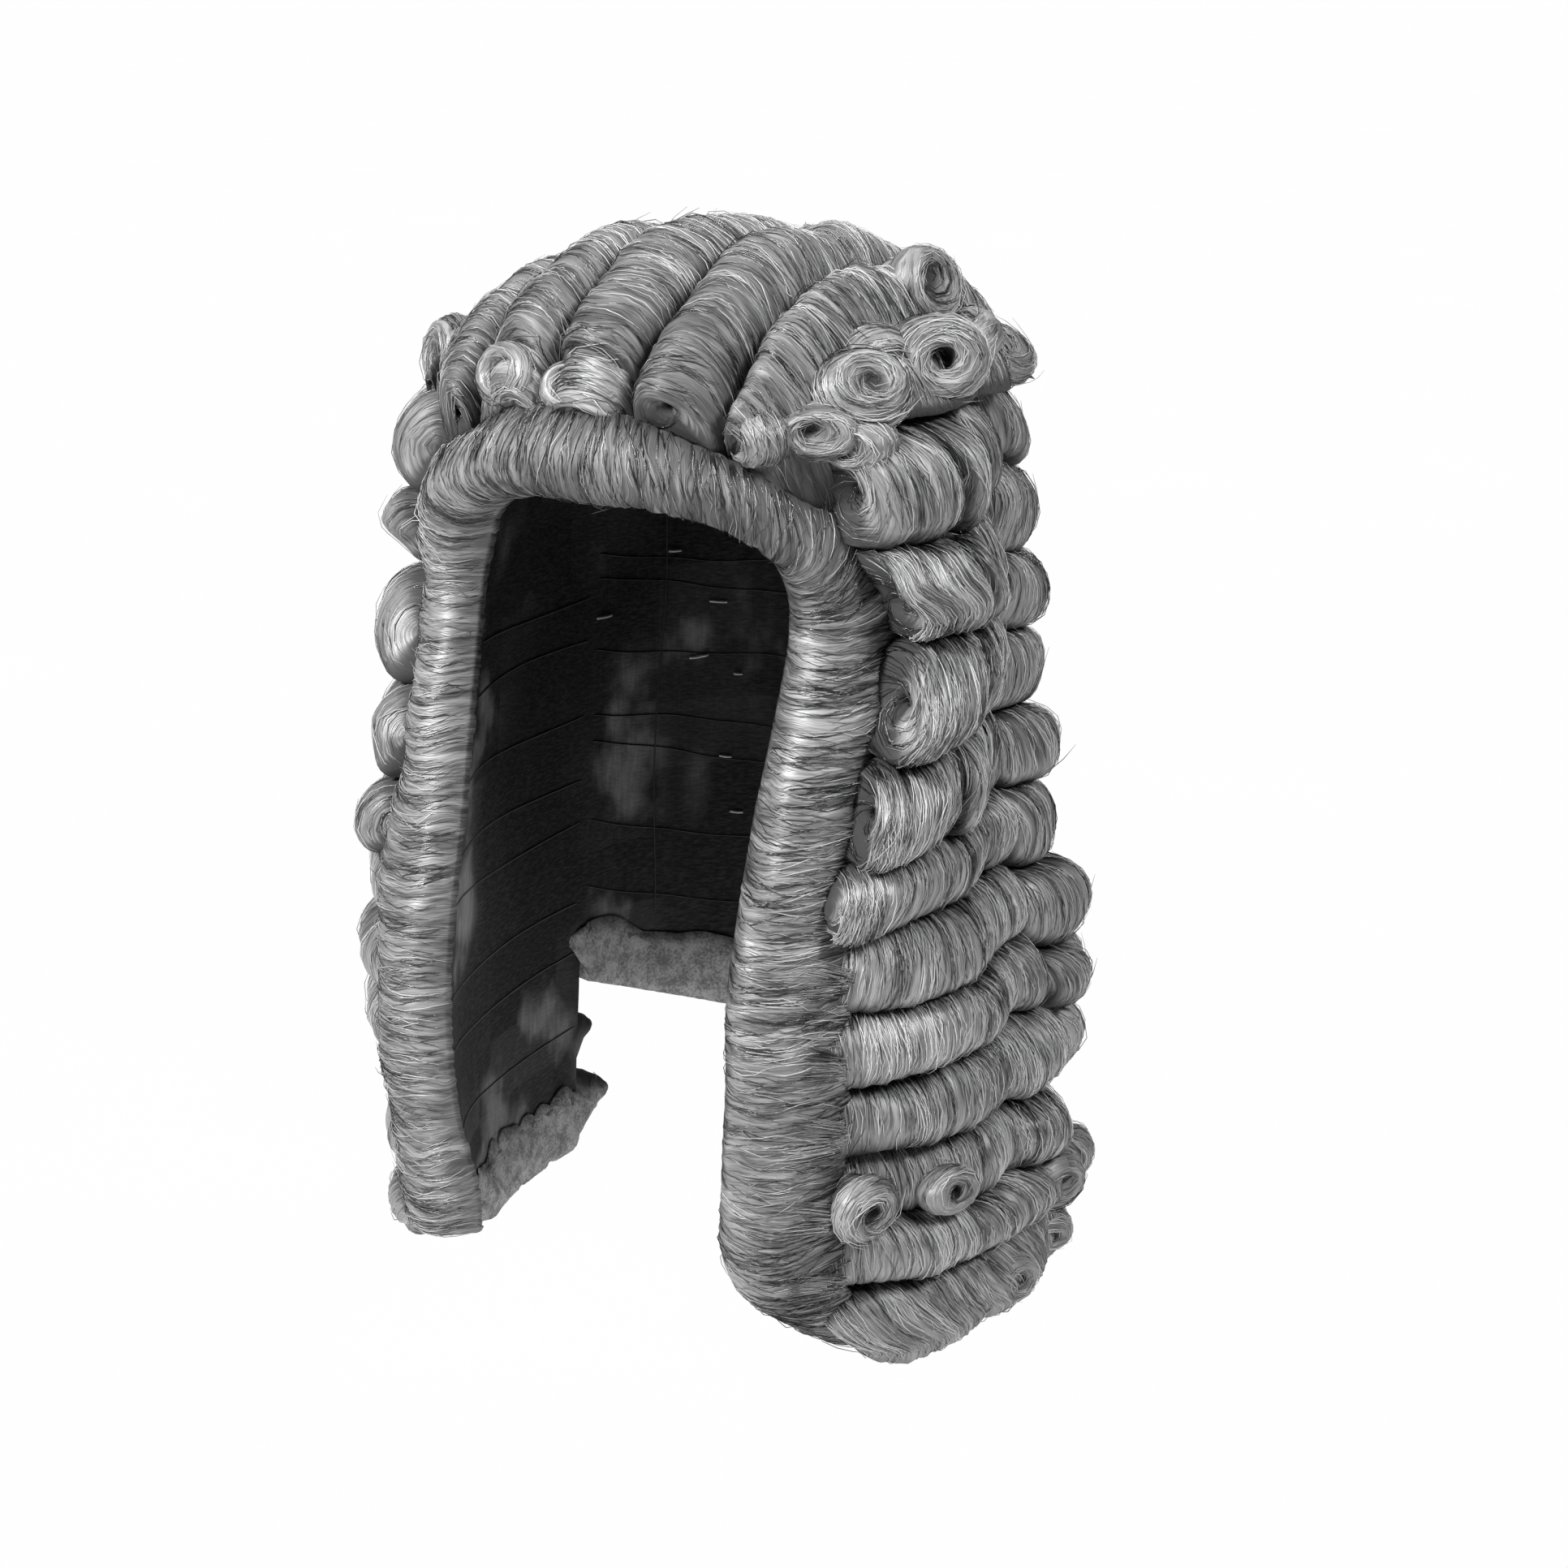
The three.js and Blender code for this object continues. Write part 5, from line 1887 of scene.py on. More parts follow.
@dataclass
class SideRows(Piece):
    """The rows of curls down both sides and their hems, in millimetres.

    Attributes:
        spacing: Distance between two rings on the wearer's left.
        far_spacing: The same on the right.
        overlap: How far a row begins before its CAD solid.
        tucked: Share of the row by which a curl runs under the next.
        shallow: Share of the depth where a soft row comes out of the face roll.
        deep_from: Share of such a curl from which it has its whole depth.
        inner_steps: Points against the cap.
        bulge_steps: Steps over the swelling.
        parting: Share of the row where it is drawn in most.
        rough_steps: Sections by which a curl's length is measured.
        least_rings: Fewest rings of a curl.
        flap_steps: Rings of the felted hair in a hem.
        scallops: Scallops along its edge.
        flap_reach: How far it reaches under the face roll.
        wisp: Strands in one wisp that sweeps in from the face roll.
        comb: How the hair is combed.
        SWEEP_HIGH: How high a sweeping wisp lies at its first points, as shares.
        SWEEP_NEAR: Distance of those points from the curls' border.
        SWEEP_GROWN: Their distance out of the cap.
    """

    spacing: float = 1.9
    far_spacing: float = 4.0
    overlap: float = 14.0
    tucked: float = 0.05
    shallow: float = 0.62
    deep_from: float = 0.42
    inner_steps: int = 3
    bulge_steps: int = 17
    parting: float = 0.76
    rough_steps: int = 12
    least_rings: int = 14
    flap_steps: int = 150
    scallops: float = 9.0
    flap_reach: float = 3.0
    wisp: int = 8
    comb: Comb = Comb(wisp=7.0, wisp_rise=1.7, strand=3.0, strand_rise=0.3, sway=4.5)
    SWEEP_HIGH: ClassVar[tuple[float, float, float]] = (1.0, 0.75, 0.3)
    SWEEP_NEAR: ClassVar[tuple[float, float, float]] = (19.0, 11.0, 3.0)
    SWEEP_GROWN: ClassVar[tuple[float, float, float]] = (28.5, 31.0, 33.0)

    def _spacing(self, side: Side) -> float:
        """Returns the distance between two rings on a side."""
        return self.spacing if side is Side.LEFT else self.far_spacing

    def curl(self, side: Side, spec: RowSpec, start: float, stop: float, seed: int) -> Array:
        """Works out the rings of one curl of a row, from its front to its rear.

        Args:
            side: The side of the head.
            spec: The row.
            start: Where the curl begins, as a share of the row.
            stop: Where it ends.
            seed: Seed of its own small differences.

        Returns:
            The rings, in millimetres.
        """
        rough = self._sections(side, spec, start, stop, np.linspace(0, 1, self.rough_steps), seed)
        peak = rough.shape[1] - self.bulge_steps // 2 - 1
        length = float(np.linalg.norm(np.diff(rough[:, peak], axis=0), axis=-1).sum())
        t = np.linspace(0, 1, max(int(length / self._spacing(side)), self.least_rings))
        return self._sections(side, spec, start, stop, t, seed)

    def _sections(
        self, side: Side, spec: RowSpec, start: float, stop: float, t: Array, seed: int
    ) -> Array:
        """Works out sections of one curl.

        Args:
            side: The side of the head.
            spec: The row.
            start: Where the curl begins, as a share of the row.
            stop: Where it ends.
            t: Shares of the curl's length.
            seed: Seed of its own small differences.

        Returns:
            The sections at those shares, in millimetres.
        """
        rng = np.random.default_rng(seed)
        height, outwards = section_shares(self.inner_steps, self.bulge_steps)
        along = lerp(start, stop + self.tucked * (stop < 1), t)
        from_parting = np.clip(np.abs(along - self.parting) / (1 - self.parting), 0, 1)
        depth = lerp(spec.front, spec.rear, np.clip(along, 0, 1) ** 1.4)
        depth *= curl_swell(along, from_parting)
        coiled = spec.end is not EndStyle.SOFT
        depth *= rng.uniform(0.97, 1.05) * lerp(1.03, 0.84 if coiled else 0.93, t**1.6)
        depth *= spec.far if side is Side.RIGHT else 1.0
        if not coiled and start == 0 and spec.inner > 0:
            depth *= lerp(self.shallow, 1.0, smoothstep(t, 0, self.deep_from))
        grown = spec.inner + (depth[:, None] - spec.inner) * outwards[None]
        low = spec.bottom + HALF_GAP - spec.droop * outwards[None]
        z = lerp(spec.top - HALF_GAP, low, height[None]) + 0 * grown
        middle = 0.5 * (spec.top + spec.bottom) - 0.5 * spec.droop
        span = lerp(1.04, 0.86 if coiled else 0.97, t)[:, None]
        z = np.where(outwards[None] > 0, middle + (z - middle) * span + rng.uniform(-1.5, 1.5), z)
        per_length = self.form.bearings_for(1.0, np.minimum(z, TEMPLE_CORNER))
        first = SLIT_BEARING + HALF_GAP * per_length - spec.slant * outwards[None]
        last = self.form.curl_bearing(z) - spec.clear * per_length
        if spec.top > TEMPLE_CORNER:
            last = np.minimum(last, self.form.temple_bearing(z, grown))
        bearing = lerp(last, first, np.clip(along, 0, 1)[:, None])
        if start == 0:
            bearing = bearing + self.overlap * per_length * np.clip(1 - t / 0.3, 0, 1)[:, None]
        points = self.form.point(side.value * bearing, z, grown)
        return DRIFT.moved(points, smoothstep(grown, *DRIFT_SPAN))

    def _flap(self, side: Side, spec: RowSpec) -> Array:
        """Shapes the felted hair that is turned up inside a lappet's hem.

        Args:
            side: The side of the head.
            spec: The hem.

        Returns:
            Its rings, in millimetres.
        """
        along = np.linspace(0, 1, self.flap_steps)[:, None]
        top, bottom = spec.top + 0 * along, spec.bottom + 0 * along
        z, grown = felted_flap(along, top, bottom, 77 + side.value, self.scallops)
        per_length = self.form.bearings_for(1.0, z)
        last = self.form.curl_bearing(z) + self.flap_reach * per_length
        bearing = lerp(last, SLIT_BEARING + HALF_GAP * per_length, along)
        return self.form.point(side.value * bearing, z, grown)

    def build(self, finishes: Finishes) -> dict[Side, list[HairSurface]]:
        """Makes every row and hem.

        Args:
            finishes: The materials.

        Returns:
            The surfaces of each side, for loose hairs.
        """
        surfaces: dict[Side, list[HairSurface]] = {side: [] for side in Side}
        perched: list[HairSurface] = []
        for side, (number, spec) in product(Side, enumerate((*SIDE_SPECS, HEM_SPEC))):
            near, is_hem = side is Side.LEFT, spec is HEM_SPEC
            node = f"{side.word}_hem_roll" if is_hem else f"{side.word}_curl_row_{number + 1:02d}"
            made: list[HairSurface] = []
            for part, (start, stop) in enumerate(zip(spec.partings, spec.partings[1:])):
                seed = 200 + 400 * near + 10 * number + part
                rings = self.curl(side, spec, start, stop, seed)
                comb, end = replace(self.comb, seed=seed), ROW_ENDS[spec.end if near else SOFT]
                spacing = self._spacing(side)
                roll = Roll(rings, self.inner_steps, comb, end, spacing=spacing, felted=is_hem)
                surface = roll.build()
                perches = LAPPET_CURLS.get((number, part), ()) if near else ()
                curls = [perch.build(surface, len(rings)) for perch in perches]
                surfaces[side].append(surface)
                perched.extend(curls)
                made.extend([surface, *curls])
            if is_hem:
                flap = Roll(self._flap(side, spec), 2, replace(self.comb, wisp_rise=0.0)).build()
                flap.felt[:] = 1
                made.append(flap)
            self.join(node, made, finishes)
        surfaces[Side.LEFT].extend(perched)
        return surfaces

    def sweeps(
        self, spec: RowSpec, surface: HairSurface, wisps: int, seed: int
    ) -> tuple[list[Array], list[Array]]:
        """Draws strands that run from the face roll into the front curl of a left row.

        Args:
            spec: The row.
            surface: Its front curl.
            wisps: Number of wisps that the strands lie in.
            seed: Seed of their places.

        Returns:
            Points of each strand, and the tone along it.
        """
        rng = np.random.default_rng(seed)
        tall = spec.top - spec.bottom
        t = np.linspace(0, 1, 6)
        lines, tones = [], []
        for _ in range(wisps):
            first, high, tone = rng.uniform(0, 6), rng.uniform(-0.05, 0.35), rng.uniform(0.3, 0.8)
            start, wind = rng.uniform(0, 0.2), rng.uniform(0, 6)
            stop = rng.uniform(start + 0.25, 0.9)
            for _ in range(self.wisp):
                ring = surface.coiled + first + rng.normal(0, 0.8)
                round_ = lerp(start, stop, t) + rng.normal(0, 0.03)
                column = surface.hidden + 1 + (self.bulge_steps - 2) * np.clip(round_, 0, 0.95)
                lift = rng.uniform(0.4, 1.4) * (1 - t) - 0.15 * t
                curl = surface.at(ring - wind * t**2, column, lift)
                z = curl[0, 2] + tall * (high + rng.normal(0, 0.04)) * np.array(self.SWEEP_HIGH)
                near = np.array(self.SWEEP_NEAR) + rng.normal(0, 2)
                bearing = self.form.curl_bearing(z) + near * self.form.bearings_for(1.0, z)
                grown = np.array(self.SWEEP_GROWN) + rng.uniform(0, 1.2)
                band = DRIFT.moved(self.form.point(bearing, z, grown), np.full(len(z), FACE_DRIFT))
                path = np.concatenate([band, curl])
                knots = np.arange(len(path))
                where = np.linspace(0, len(path) - 1, 11)
                axes = [smooth_curve(knots, path[:, k], where) for k in range(3)]
                lines.append(np.stack(axes, axis=-1))
                tones.append(np.full(len(where), tone + 0.2 * rng.normal()))
        return lines, tones

    def dress(self, finishes: Finishes) -> list[HairSurface]:
        """Sets the ring curls on the left lappet.

        Args:
            finishes: The materials.

        Returns:
            Their surfaces, for strands.
        """
        surfaces: list[HairSurface] = []
        for number, spec in enumerate(RING_SPECS, 1):
            at = self.form.point(spec.bearing, spec.z, spec.grown)
            out = unit(self.form.point(spec.bearing, spec.z, spec.grown + 1) - at)
            curl = replace(RING_CURL, radius=spec.radius, seed=40 + number)
            surfaces.append(curl.build(at, out))
            self.join(f"left_ring_curl_{number}", surfaces[-1:], finishes)
        return surfaces


@dataclass(frozen=True)
class BackSpec:
    """A row of curls across the back: where it begins, its depths and its curls' shift."""

    top: float
    bottom: float
    middle: float
    sides: float
    shift: float
    inner: float = CURL_START


BACK_TOPS = (-34, -76, -116, -154, -192, -230, -268, -306, BACK_LINING_END)
BACK_MIDDLES = (42, 43, 44, 44, 45, 46, 47, 47)
BACK_SIDES = (36, 35, 36, 39, 43, 44, 55, 64)
BACK_SPECS = tuple(
    BackSpec(top, bottom, middle, sides, 0.5 * (number % 2))
    for number, (top, bottom, middle, sides) in enumerate(
        zip(BACK_TOPS, BACK_TOPS[1:], BACK_MIDDLES, BACK_SIDES)
    )
)
BACK_HEM_SPEC = BackSpec(BACK_LINING_END, BACK_HEM, 45, 54, 0.0, -CAP_WALL)


@dataclass
class BackRows(Piece):
    """The rows of curls across the back and their hem, in millimetres.

    Attributes:
        spacing: Distance between two rings.
        length: Usual length of a row.
        inner_steps: Points against the cap.
        bulge_steps: Steps over the swelling.
        curls: Curls in a row.
        flap_steps: Rings of the felted hair in the hem.
        scallops: Scallops along its edge.
        comb: How the hair is combed.
        end: Both ends of a row.
    """

    spacing: float = 3.4
    length: float = 340.0
    inner_steps: int = 3
    bulge_steps: int = 13
    curls: int = 4
    flap_steps: int = 260
    scallops: float = 16.0
    comb: Comb = Comb(wisp=9.0, wisp_rise=1.5, strand=4.0, strand_rise=0.35, sway=4.0)
    end: RollEnd = RollEnd(EndStyle.SOFT, rim=0.85, rounding=5.0, sunk=0.5)

    def rings(self, spec: BackSpec) -> Array:
        """Works out a row's rings.

        Args:
            spec: The row.

        Returns:
            The rings from slit to slit.
        """
        height, outwards = section_shares(self.inner_steps, self.bulge_steps)
        along = np.linspace(0, 1, int(self.length / self.spacing))
        bearing = (SLIT_BEARING - 0.5) * (2 * along - 1)
        from_parting = np.abs(np.sin(np.pi * (along * self.curls + spec.shift)))
        depth = lerp(spec.middle, spec.sides, (2 * along - 1) ** 2)
        depth *= curl_swell(along, from_parting)
        depth *= lerp(0.9, 1.0, from_parting**0.4)
        grown = spec.inner + (depth[:, None] - spec.inner) * outwards[None]
        lifted = self.form.lifted(spec.top, bearing)
        top = np.where(spec.top == CROWN_BASE, spec.top, lifted) - HALF_GAP
        low = self.form.lifted(spec.bottom, bearing) + PIECE_GAP
        z = lerp(top[:, None], low[:, None], height[None])
        points = self.form.point(bearing[:, None], z, grown)
        return DRIFT.moved(points, smoothstep(grown, *DRIFT_SPAN))

    def _flap(self, spec: BackSpec) -> Array:
        """Shapes the felted hair that is turned up inside the back's hem.

        Args:
            spec: The hem.

        Returns:
            Its rings.
        """
        along = np.linspace(0, 1, self.flap_steps)[:, None]
        bearing = (SLIT_BEARING - 1.5) * (2 * along - 1)
        top, bottom = self.form.lifted(spec.top, bearing), self.form.lifted(spec.bottom, bearing)
        z, grown = felted_flap(along, top, bottom, 91, self.scallops)
        return self.form.point(bearing + 0 * z, z, grown)

    def build(self, finishes: Finishes) -> list[HairSurface]:
        """Makes every row and the hem.

        Args:
            finishes: The materials.

        Returns:
            The surfaces, for loose hairs.
        """
        surfaces: list[HairSurface] = []
        for number, spec in enumerate((*BACK_SPECS, BACK_HEM_SPEC)):
            is_hem = spec is BACK_HEM_SPEC
            node = "back_hem_roll" if is_hem else f"back_curl_row_{number + 1}"
            comb = replace(self.comb, seed=300 + number)
            rings, end = self.rings(spec), self.end
            made = [Roll(rings, self.inner_steps, comb, end, end, self.spacing, is_hem).build()]
            surfaces.extend(made)
            if is_hem:
                flat = replace(self.comb, wisp_rise=0.0)
                flap = Roll(self._flap(spec), 2, flat, spacing=self.spacing).build()
                flap.felt[:] = 1
                made.append(flap)
            self.join(node, made, finishes)
        return surfaces


FACE_SECTION_INSIDE = (0.98, -0.04)
FACE_SECTION_BACK = (-0.09, -0.12, -0.06, 0.12, 0.42, 0.82, 1.25)
FACE_SECTION_GROWN = (0.02, 0.3, 0.58, 0.82, 1.0, 1.02, 0.94)


@dataclass
class FaceRoll(Piece):
    """The roll of brushed hair round the face opening.

    Attributes:
        spacing: Distance between two rings, in millimetres.
        inner_steps: Points against the cap.
        outer_steps: Points outside.
        samples: Places at which one side is measured first.
        middle: Distance out of the cap of the line that is measured, in millimetres.
        valley_shade: Painted shade on the hair beside the curls.
        dusk: Painted shade over the left brow.
        dusk_from: Shares of the roll over which that begins.
        dusk_to: Shares over which it ends.
        comb: How the hair is combed.
        end: Both ends of the roll.
    """

    spacing: float = 1.7
    inner_steps: int = 4
    outer_steps: int = 18
    samples: int = 900
    middle: float = 25.0
    valley_shade: float = 0.3
    dusk: float = 0.32
    dusk_from: tuple[float, float] = (0.34, 0.4)
    dusk_to: tuple[float, float] = (0.5, 0.58)
    comb: Comb = Comb(wisp=6.5, wisp_rise=1.4, strand=3.0, strand_rise=0.3, sway=5.0, seed=400)
    end: RollEnd = RollEnd(EndStyle.SOFT, rim=0.4, rounding=22.0, sunk=1.5)

    def _stations(self, p: Array) -> tuple[Array, Array, Array, Array]:
        """Finds the opening's edge and the curls' border.

        Args:
            p: Position up one side: 0 at the tip, 1 at the temple, 2 at the middle of the forehead.

        Returns:
            Bearing and height of the edge, then bearing and height of the border.
        """
        side_z = lerp(LAPPET_HEM, TEMPLE_CORNER, np.clip(p, 0, 1))
        turn = np.clip(p - 1, 0, 1)
        brow_bearing, brow_z = self.form.brow_edge(turn)
        brow_border = lerp(self.form.curl_bearing(TEMPLE_CORNER), 180.0, turn)
        border = np.where(p < 1, self.form.curl_bearing(side_z), brow_border)
        border_z = np.where(p < 1, side_z, self.form.brow_border(brow_border) - HALF_GAP)
        edge = np.where(p < 1, self.form.edge_bearing(side_z), brow_bearing)
        return edge, np.where(p < 1, side_z, brow_z), border, border_z

    def rings(self) -> Array:
        """Works out the roll's rings.

        Returns:
            The rings from the left lappet's tip to the right one's, in millimetres.
        """
        p = np.linspace(0, 2, self.samples)
        edge, edge_z, border, border_z = self._stations(p)
        bearing, z = (edge + border) / 2, (edge_z + border_z) / 2
        run = run_lengths(self.form.point(bearing, z, self.middle))
        even = np.interp(np.linspace(0, run[-1], int(run[-1] / self.spacing)), run, p)
        edge, edge_z, border, border_z = self._stations(even)
        mirrored = slice(-2, None, -1)
        edge, border = (np.concatenate([b, 360 - b[mirrored]]) for b in (edge, border))
        edge_z, border_z = (np.concatenate([z, z[mirrored]]) for z in (edge_z, border_z))
        to_tip = smoothstep(-edge_z, -BREAST, -LAPPET_HEM)
        depth = lerp(FACE_ROLL_DEPTH, FACE_ROLL_TIP_DEPTH, to_tip)
        apart = self.form.point(edge, edge_z, 0) - self.form.point(border, border_z, 0)
        reach = np.linalg.norm(apart, axis=-1)
        knots = np.arange(len(FACE_SECTION_BACK))
        where = np.linspace(0, knots[-1], self.outer_steps)
        inside = np.linspace(*FACE_SECTION_INSIDE, self.inner_steps)
        back = np.concatenate([inside, smooth_curve(knots, FACE_SECTION_BACK, where)])
        out = smooth_curve(knots, FACE_SECTION_GROWN, where)
        share = np.where(back[None] < 0, back[None] * FACE_ROLL_WIDTH / reach[:, None], back[None])
        tuck = lerp(0.1, 1.0, smoothstep(edge_z, BREAST, TEMPLE_CORNER - 40))[:, None]
        share = np.where(back[None] > 1, 1 + (back[None] - 1) * tuck, share)
        inner = np.full((len(edge), self.inner_steps), CURL_START + HALF_GAP)
        outer = lerp(-CAP_WALL, depth[:, None], out[None])
        grown = np.concatenate([inner, outer], axis=1)
        bearing = lerp(edge[:, None], border[:, None], share)
        points = self.form.point(bearing, lerp(edge_z[:, None], border_z[:, None], share), grown)
        return DRIFT.moved(points, smoothstep(grown, *DRIFT_SPAN) * FACE_DRIFT)

    def build(self, finishes: Finishes) -> HairSurface:
        """Makes the roll.

        Args:
            finishes: The materials.

        Returns:
            The surface, for loose hairs.
        """
        rings, end = self.rings(), self.end
        roll = Roll(rings, self.inner_steps, self.comb, end, end, self.spacing, valley_shade=self.valley_shade)
        surface = roll.build()
        run = np.linspace(0, 1, len(surface.points))[:, None]
        # Painted shade over the left brow.
        dusk = self.dusk * smoothstep(run, *self.dusk_from)
        surface.hollow += dusk * (1 - smoothstep(run, *self.dusk_to))
        self.join("face_roll", [surface], finishes)
        return surface


@dataclass
class CapLining(Piece):
    """The dark cap that the hair is sewn to, with its seams and stitches.

    Attributes:
        back_columns: Grid columns from the middle of the back to a slit.
        side_columns: Columns from there to the temple's corner.
        brow_columns: Columns from there to the middle of the brow.
        dome_rows: Grid rows down to the brow.
        upper_rows: Rows from there to the end of the back.
        lappet_rows: Rows from there to the lappets' ends.
        stitches: Number of pale stitches.
        BACK_SEAMS: Heights of the seams across the back.
        LAPPET_SEAMS: Heights of those across the lappets.
        UPRIGHT_SEAMS: Bearings of the upright ones.
    """

    slot: str = "lining"
    back_columns: int = 22
    side_columns: int = 12
    brow_columns: int = 16
    dome_rows: int = 16
    upper_rows: int = 36
    lappet_rows: int = 12
    stitches: int = 22
    BACK_SEAMS: ClassVar[tuple[int, ...]] = (-104, -137, -151, -186, -222, -239, -281, -318)
    LAPPET_SEAMS: ClassVar[tuple[int, ...]] = (-142, -163, -199, -231, -254, -296, -322, -361)
    UPRIGHT_SEAMS: ClassVar[tuple[int, ...]] = (-58, 2, 61)

    def _bearing(self, steps: Array, z: Array) -> Array:
        """Works out where grid columns lie.

        Args:
            steps: Columns, counted from the middle of the back.
            z: Heights.

        Returns:
            Their bearings.
        """
        size = np.abs(steps)
        edge = self.form.edge_bearing(np.minimum(z, TEMPLE_CORNER))
        behind = size * SLIT_BEARING / self.back_columns
        beside = lerp(SLIT_BEARING, edge, (size - self.back_columns) / self.side_columns)
        brow, _ = self.form.brow_edge(self._turn(size))
        inner = np.where(size <= self.back_columns, behind, beside)
        return np.sign(steps) * np.where(size > self.back_columns + self.side_columns, brow, inner)

    def _turn(self, size: Array) -> Array:
        """Returns how far grid columns lie along the brow's arch."""
        return np.clip(size - self.back_columns - self.side_columns, 0, None) / self.brow_columns

    def _height(self, row: Array, steps: Array) -> Array:
        """Works out where grid rows lie.

        Args:
            row: Rows, counted from the top.
            steps: Columns, counted from the middle of the back.

        Returns:
            Their heights.
        """
        size = np.abs(steps)
        _, brow = self.form.brow_edge(self._turn(size))
        bearing = np.abs(self._bearing(steps, np.full(steps.shape, TEMPLE_CORNER)))
        back_end = self.form.lifted(BACK_LINING_END, np.minimum(bearing, SLIT_BEARING))
        forehead, back_row = self.dome_rows, self.dome_rows + self.upper_rows
        turn = np.clip(row / forehead, 0, 1) * np.arccos(np.maximum(1 + brow / DOME_HEIGHT, -0.2))
        dome = np.where(row >= forehead, brow, -DOME_HEIGHT * (1 - np.cos(turn)))
        upper = lerp(brow, back_end, (row - forehead) / self.upper_rows)
        lower = lerp(back_end, LAPPET_LINING_END + HALF_GAP, (row - back_row) / self.lappet_rows)
        return np.where(row <= forehead, dome, np.where(row <= back_row, upper, lower))

    def build(self, finishes: Finishes) -> bpy.types.Object:
        """Makes the cap's wall.

        Args:
            finishes: The materials.

        Returns:
            The wall.
        """
        half = self.back_columns + self.side_columns + self.brow_columns
        last = self.dome_rows + self.upper_rows + self.lappet_rows
        row, steps = np.meshgrid(np.arange(last + 1), np.arange(-half, half), indexing="ij")
        row, steps = row.astype(float), steps.astype(float)
        z = self._height(row, steps)
        bearing = self._bearing(steps, z)
        layers = [self.form.point(bearing, z, grown) for grown in (0.0, CAP_WALL)]
        layers[0][0], layers[1][0] = (0, 0, 0), (0, 0, CAP_WALL)
        columns = 2 * half
        size = np.abs(steps + 0.5)
        present = (row < self.dome_rows) | (size < self.back_columns + self.side_columns)
        present &= (row < self.dome_rows + self.upper_rows) | (size > self.back_columns)
        present = present[:last]
        grid = np.arange((last + 1) * columns).reshape(last + 1, columns)
        grid[0] = 0
        outer = grid + grid.size
        faces: list[tuple[int, ...]] = []
        for r, c in zip(*np.nonzero(present)):
            n = (c + 1) % columns
            ring = [(r, c), (r, n), (r + 1, n), (r + 1, c)]
            faces.append(tuple(int(outer[k]) for k in ring))
            faces.append(tuple(int(grid[k]) for k in reversed(ring)))
            beside = [(r - 1, c), (r, n), (r + 1, c), (r, (c - 1) % columns)]
            for k, (i, j) in enumerate(beside):
                if i < 0 or (i < last and present[i, j]):
                    continue
                start, stop = ring[k], ring[(k + 1) % 4]
                corners = outer[stop], outer[start], grid[start], grid[stop]
                faces.append(tuple(int(corner) for corner in corners))
        clean = [tuple(dict.fromkeys(face)) for face in faces]
        points = np.concatenate([layer.reshape(-1, 3) for layer in layers]) * MM
        used = np.unique(np.concatenate([np.array(face) for face in clean]))
        number = np.full(len(points), -1)
        number[used] = np.arange(len(used))
        mesh = bpy.data.meshes.new("cap_lining_net")
        numbered = [[int(number[k]) for k in face] for face in clean]
        mesh.from_pydata(points[used].tolist(), [], numbered)
        mesh.polygons.foreach_set("use_smooth", np.ones(len(mesh.polygons), bool))
        mesh.update()
        mesh.validate()
        mesh.materials.append(finishes.lining)
        return self.attach(place(mesh.name, mesh), "cap_lining")

    def dress(self, tree: StrandTree, finishes: Finishes) -> None:
        """Sews the seams and stitches inside the cap.

        Args:
            tree: The strand nodes.
            finishes: The materials.
        """
        rng = np.random.default_rng(7)
        lines = []
        bearing = np.linspace(2 - SLIT_BEARING, SLIT_BEARING - 2, 90)
        for z in self.BACK_SEAMS:
            height = self.form.lifted(z, bearing) + 1.6 * np.sin(bearing / 17 + z)
            lines.append(self.form.point(bearing, height + 0.5 * np.sin(bearing / 5), -0.2))
        for z, side in product(self.LAPPET_SEAMS, Side):
            edge = float(self.form.edge_bearing(z)) - 2
            bearing = side.value * np.linspace(SLIT_BEARING + 1.5, edge, 40)
            lines.append(self.form.point(bearing, z + 1.2 * np.sin(bearing / 9 + z), -0.2))
        z = np.linspace(-20, -330, 70)
        for upright in self.UPRIGHT_SEAMS:
            height = self.form.lifted(z, upright)
            lines.append(self.form.point(upright + np.sin(z / 30), height, -0.25))
        self.attach(tree.grow("lining_seams", lines, 0.45, 3, finishes.seam))
        stitches = []
        places = rng.uniform(-80, 80, self.stitches), rng.uniform(-270, -110, self.stitches)
        for bearing, z in zip(*places):
            long = rng.uniform(4.0, 10.0) / 1.7
            turn = np.linspace(-long / 2, long / 2, 6)
            bow = 0.8 * (1 - (2 * turn / long) ** 2)
            height = self.form.lifted(z, bearing) + rng.uniform(-0.3, 0.3) * turn
            stitches.append(self.form.point(bearing + turn, height, -0.5 - bow))
        self.attach(tree.grow("lining_stitches", stitches, 0.6, 5, finishes.stitch))
        z = np.linspace(-88, -112, 14)
        bearing = -28 + 2.5 * np.sin(z / 7)
        ribbon = [self.form.point(bearing + k * 0.5, z, -1.2 - 0.2 * k) for k in range(4)]
        self.attach(tree.grow("lining_ribbon", ribbon, 0.5, 5, finishes.stitch))


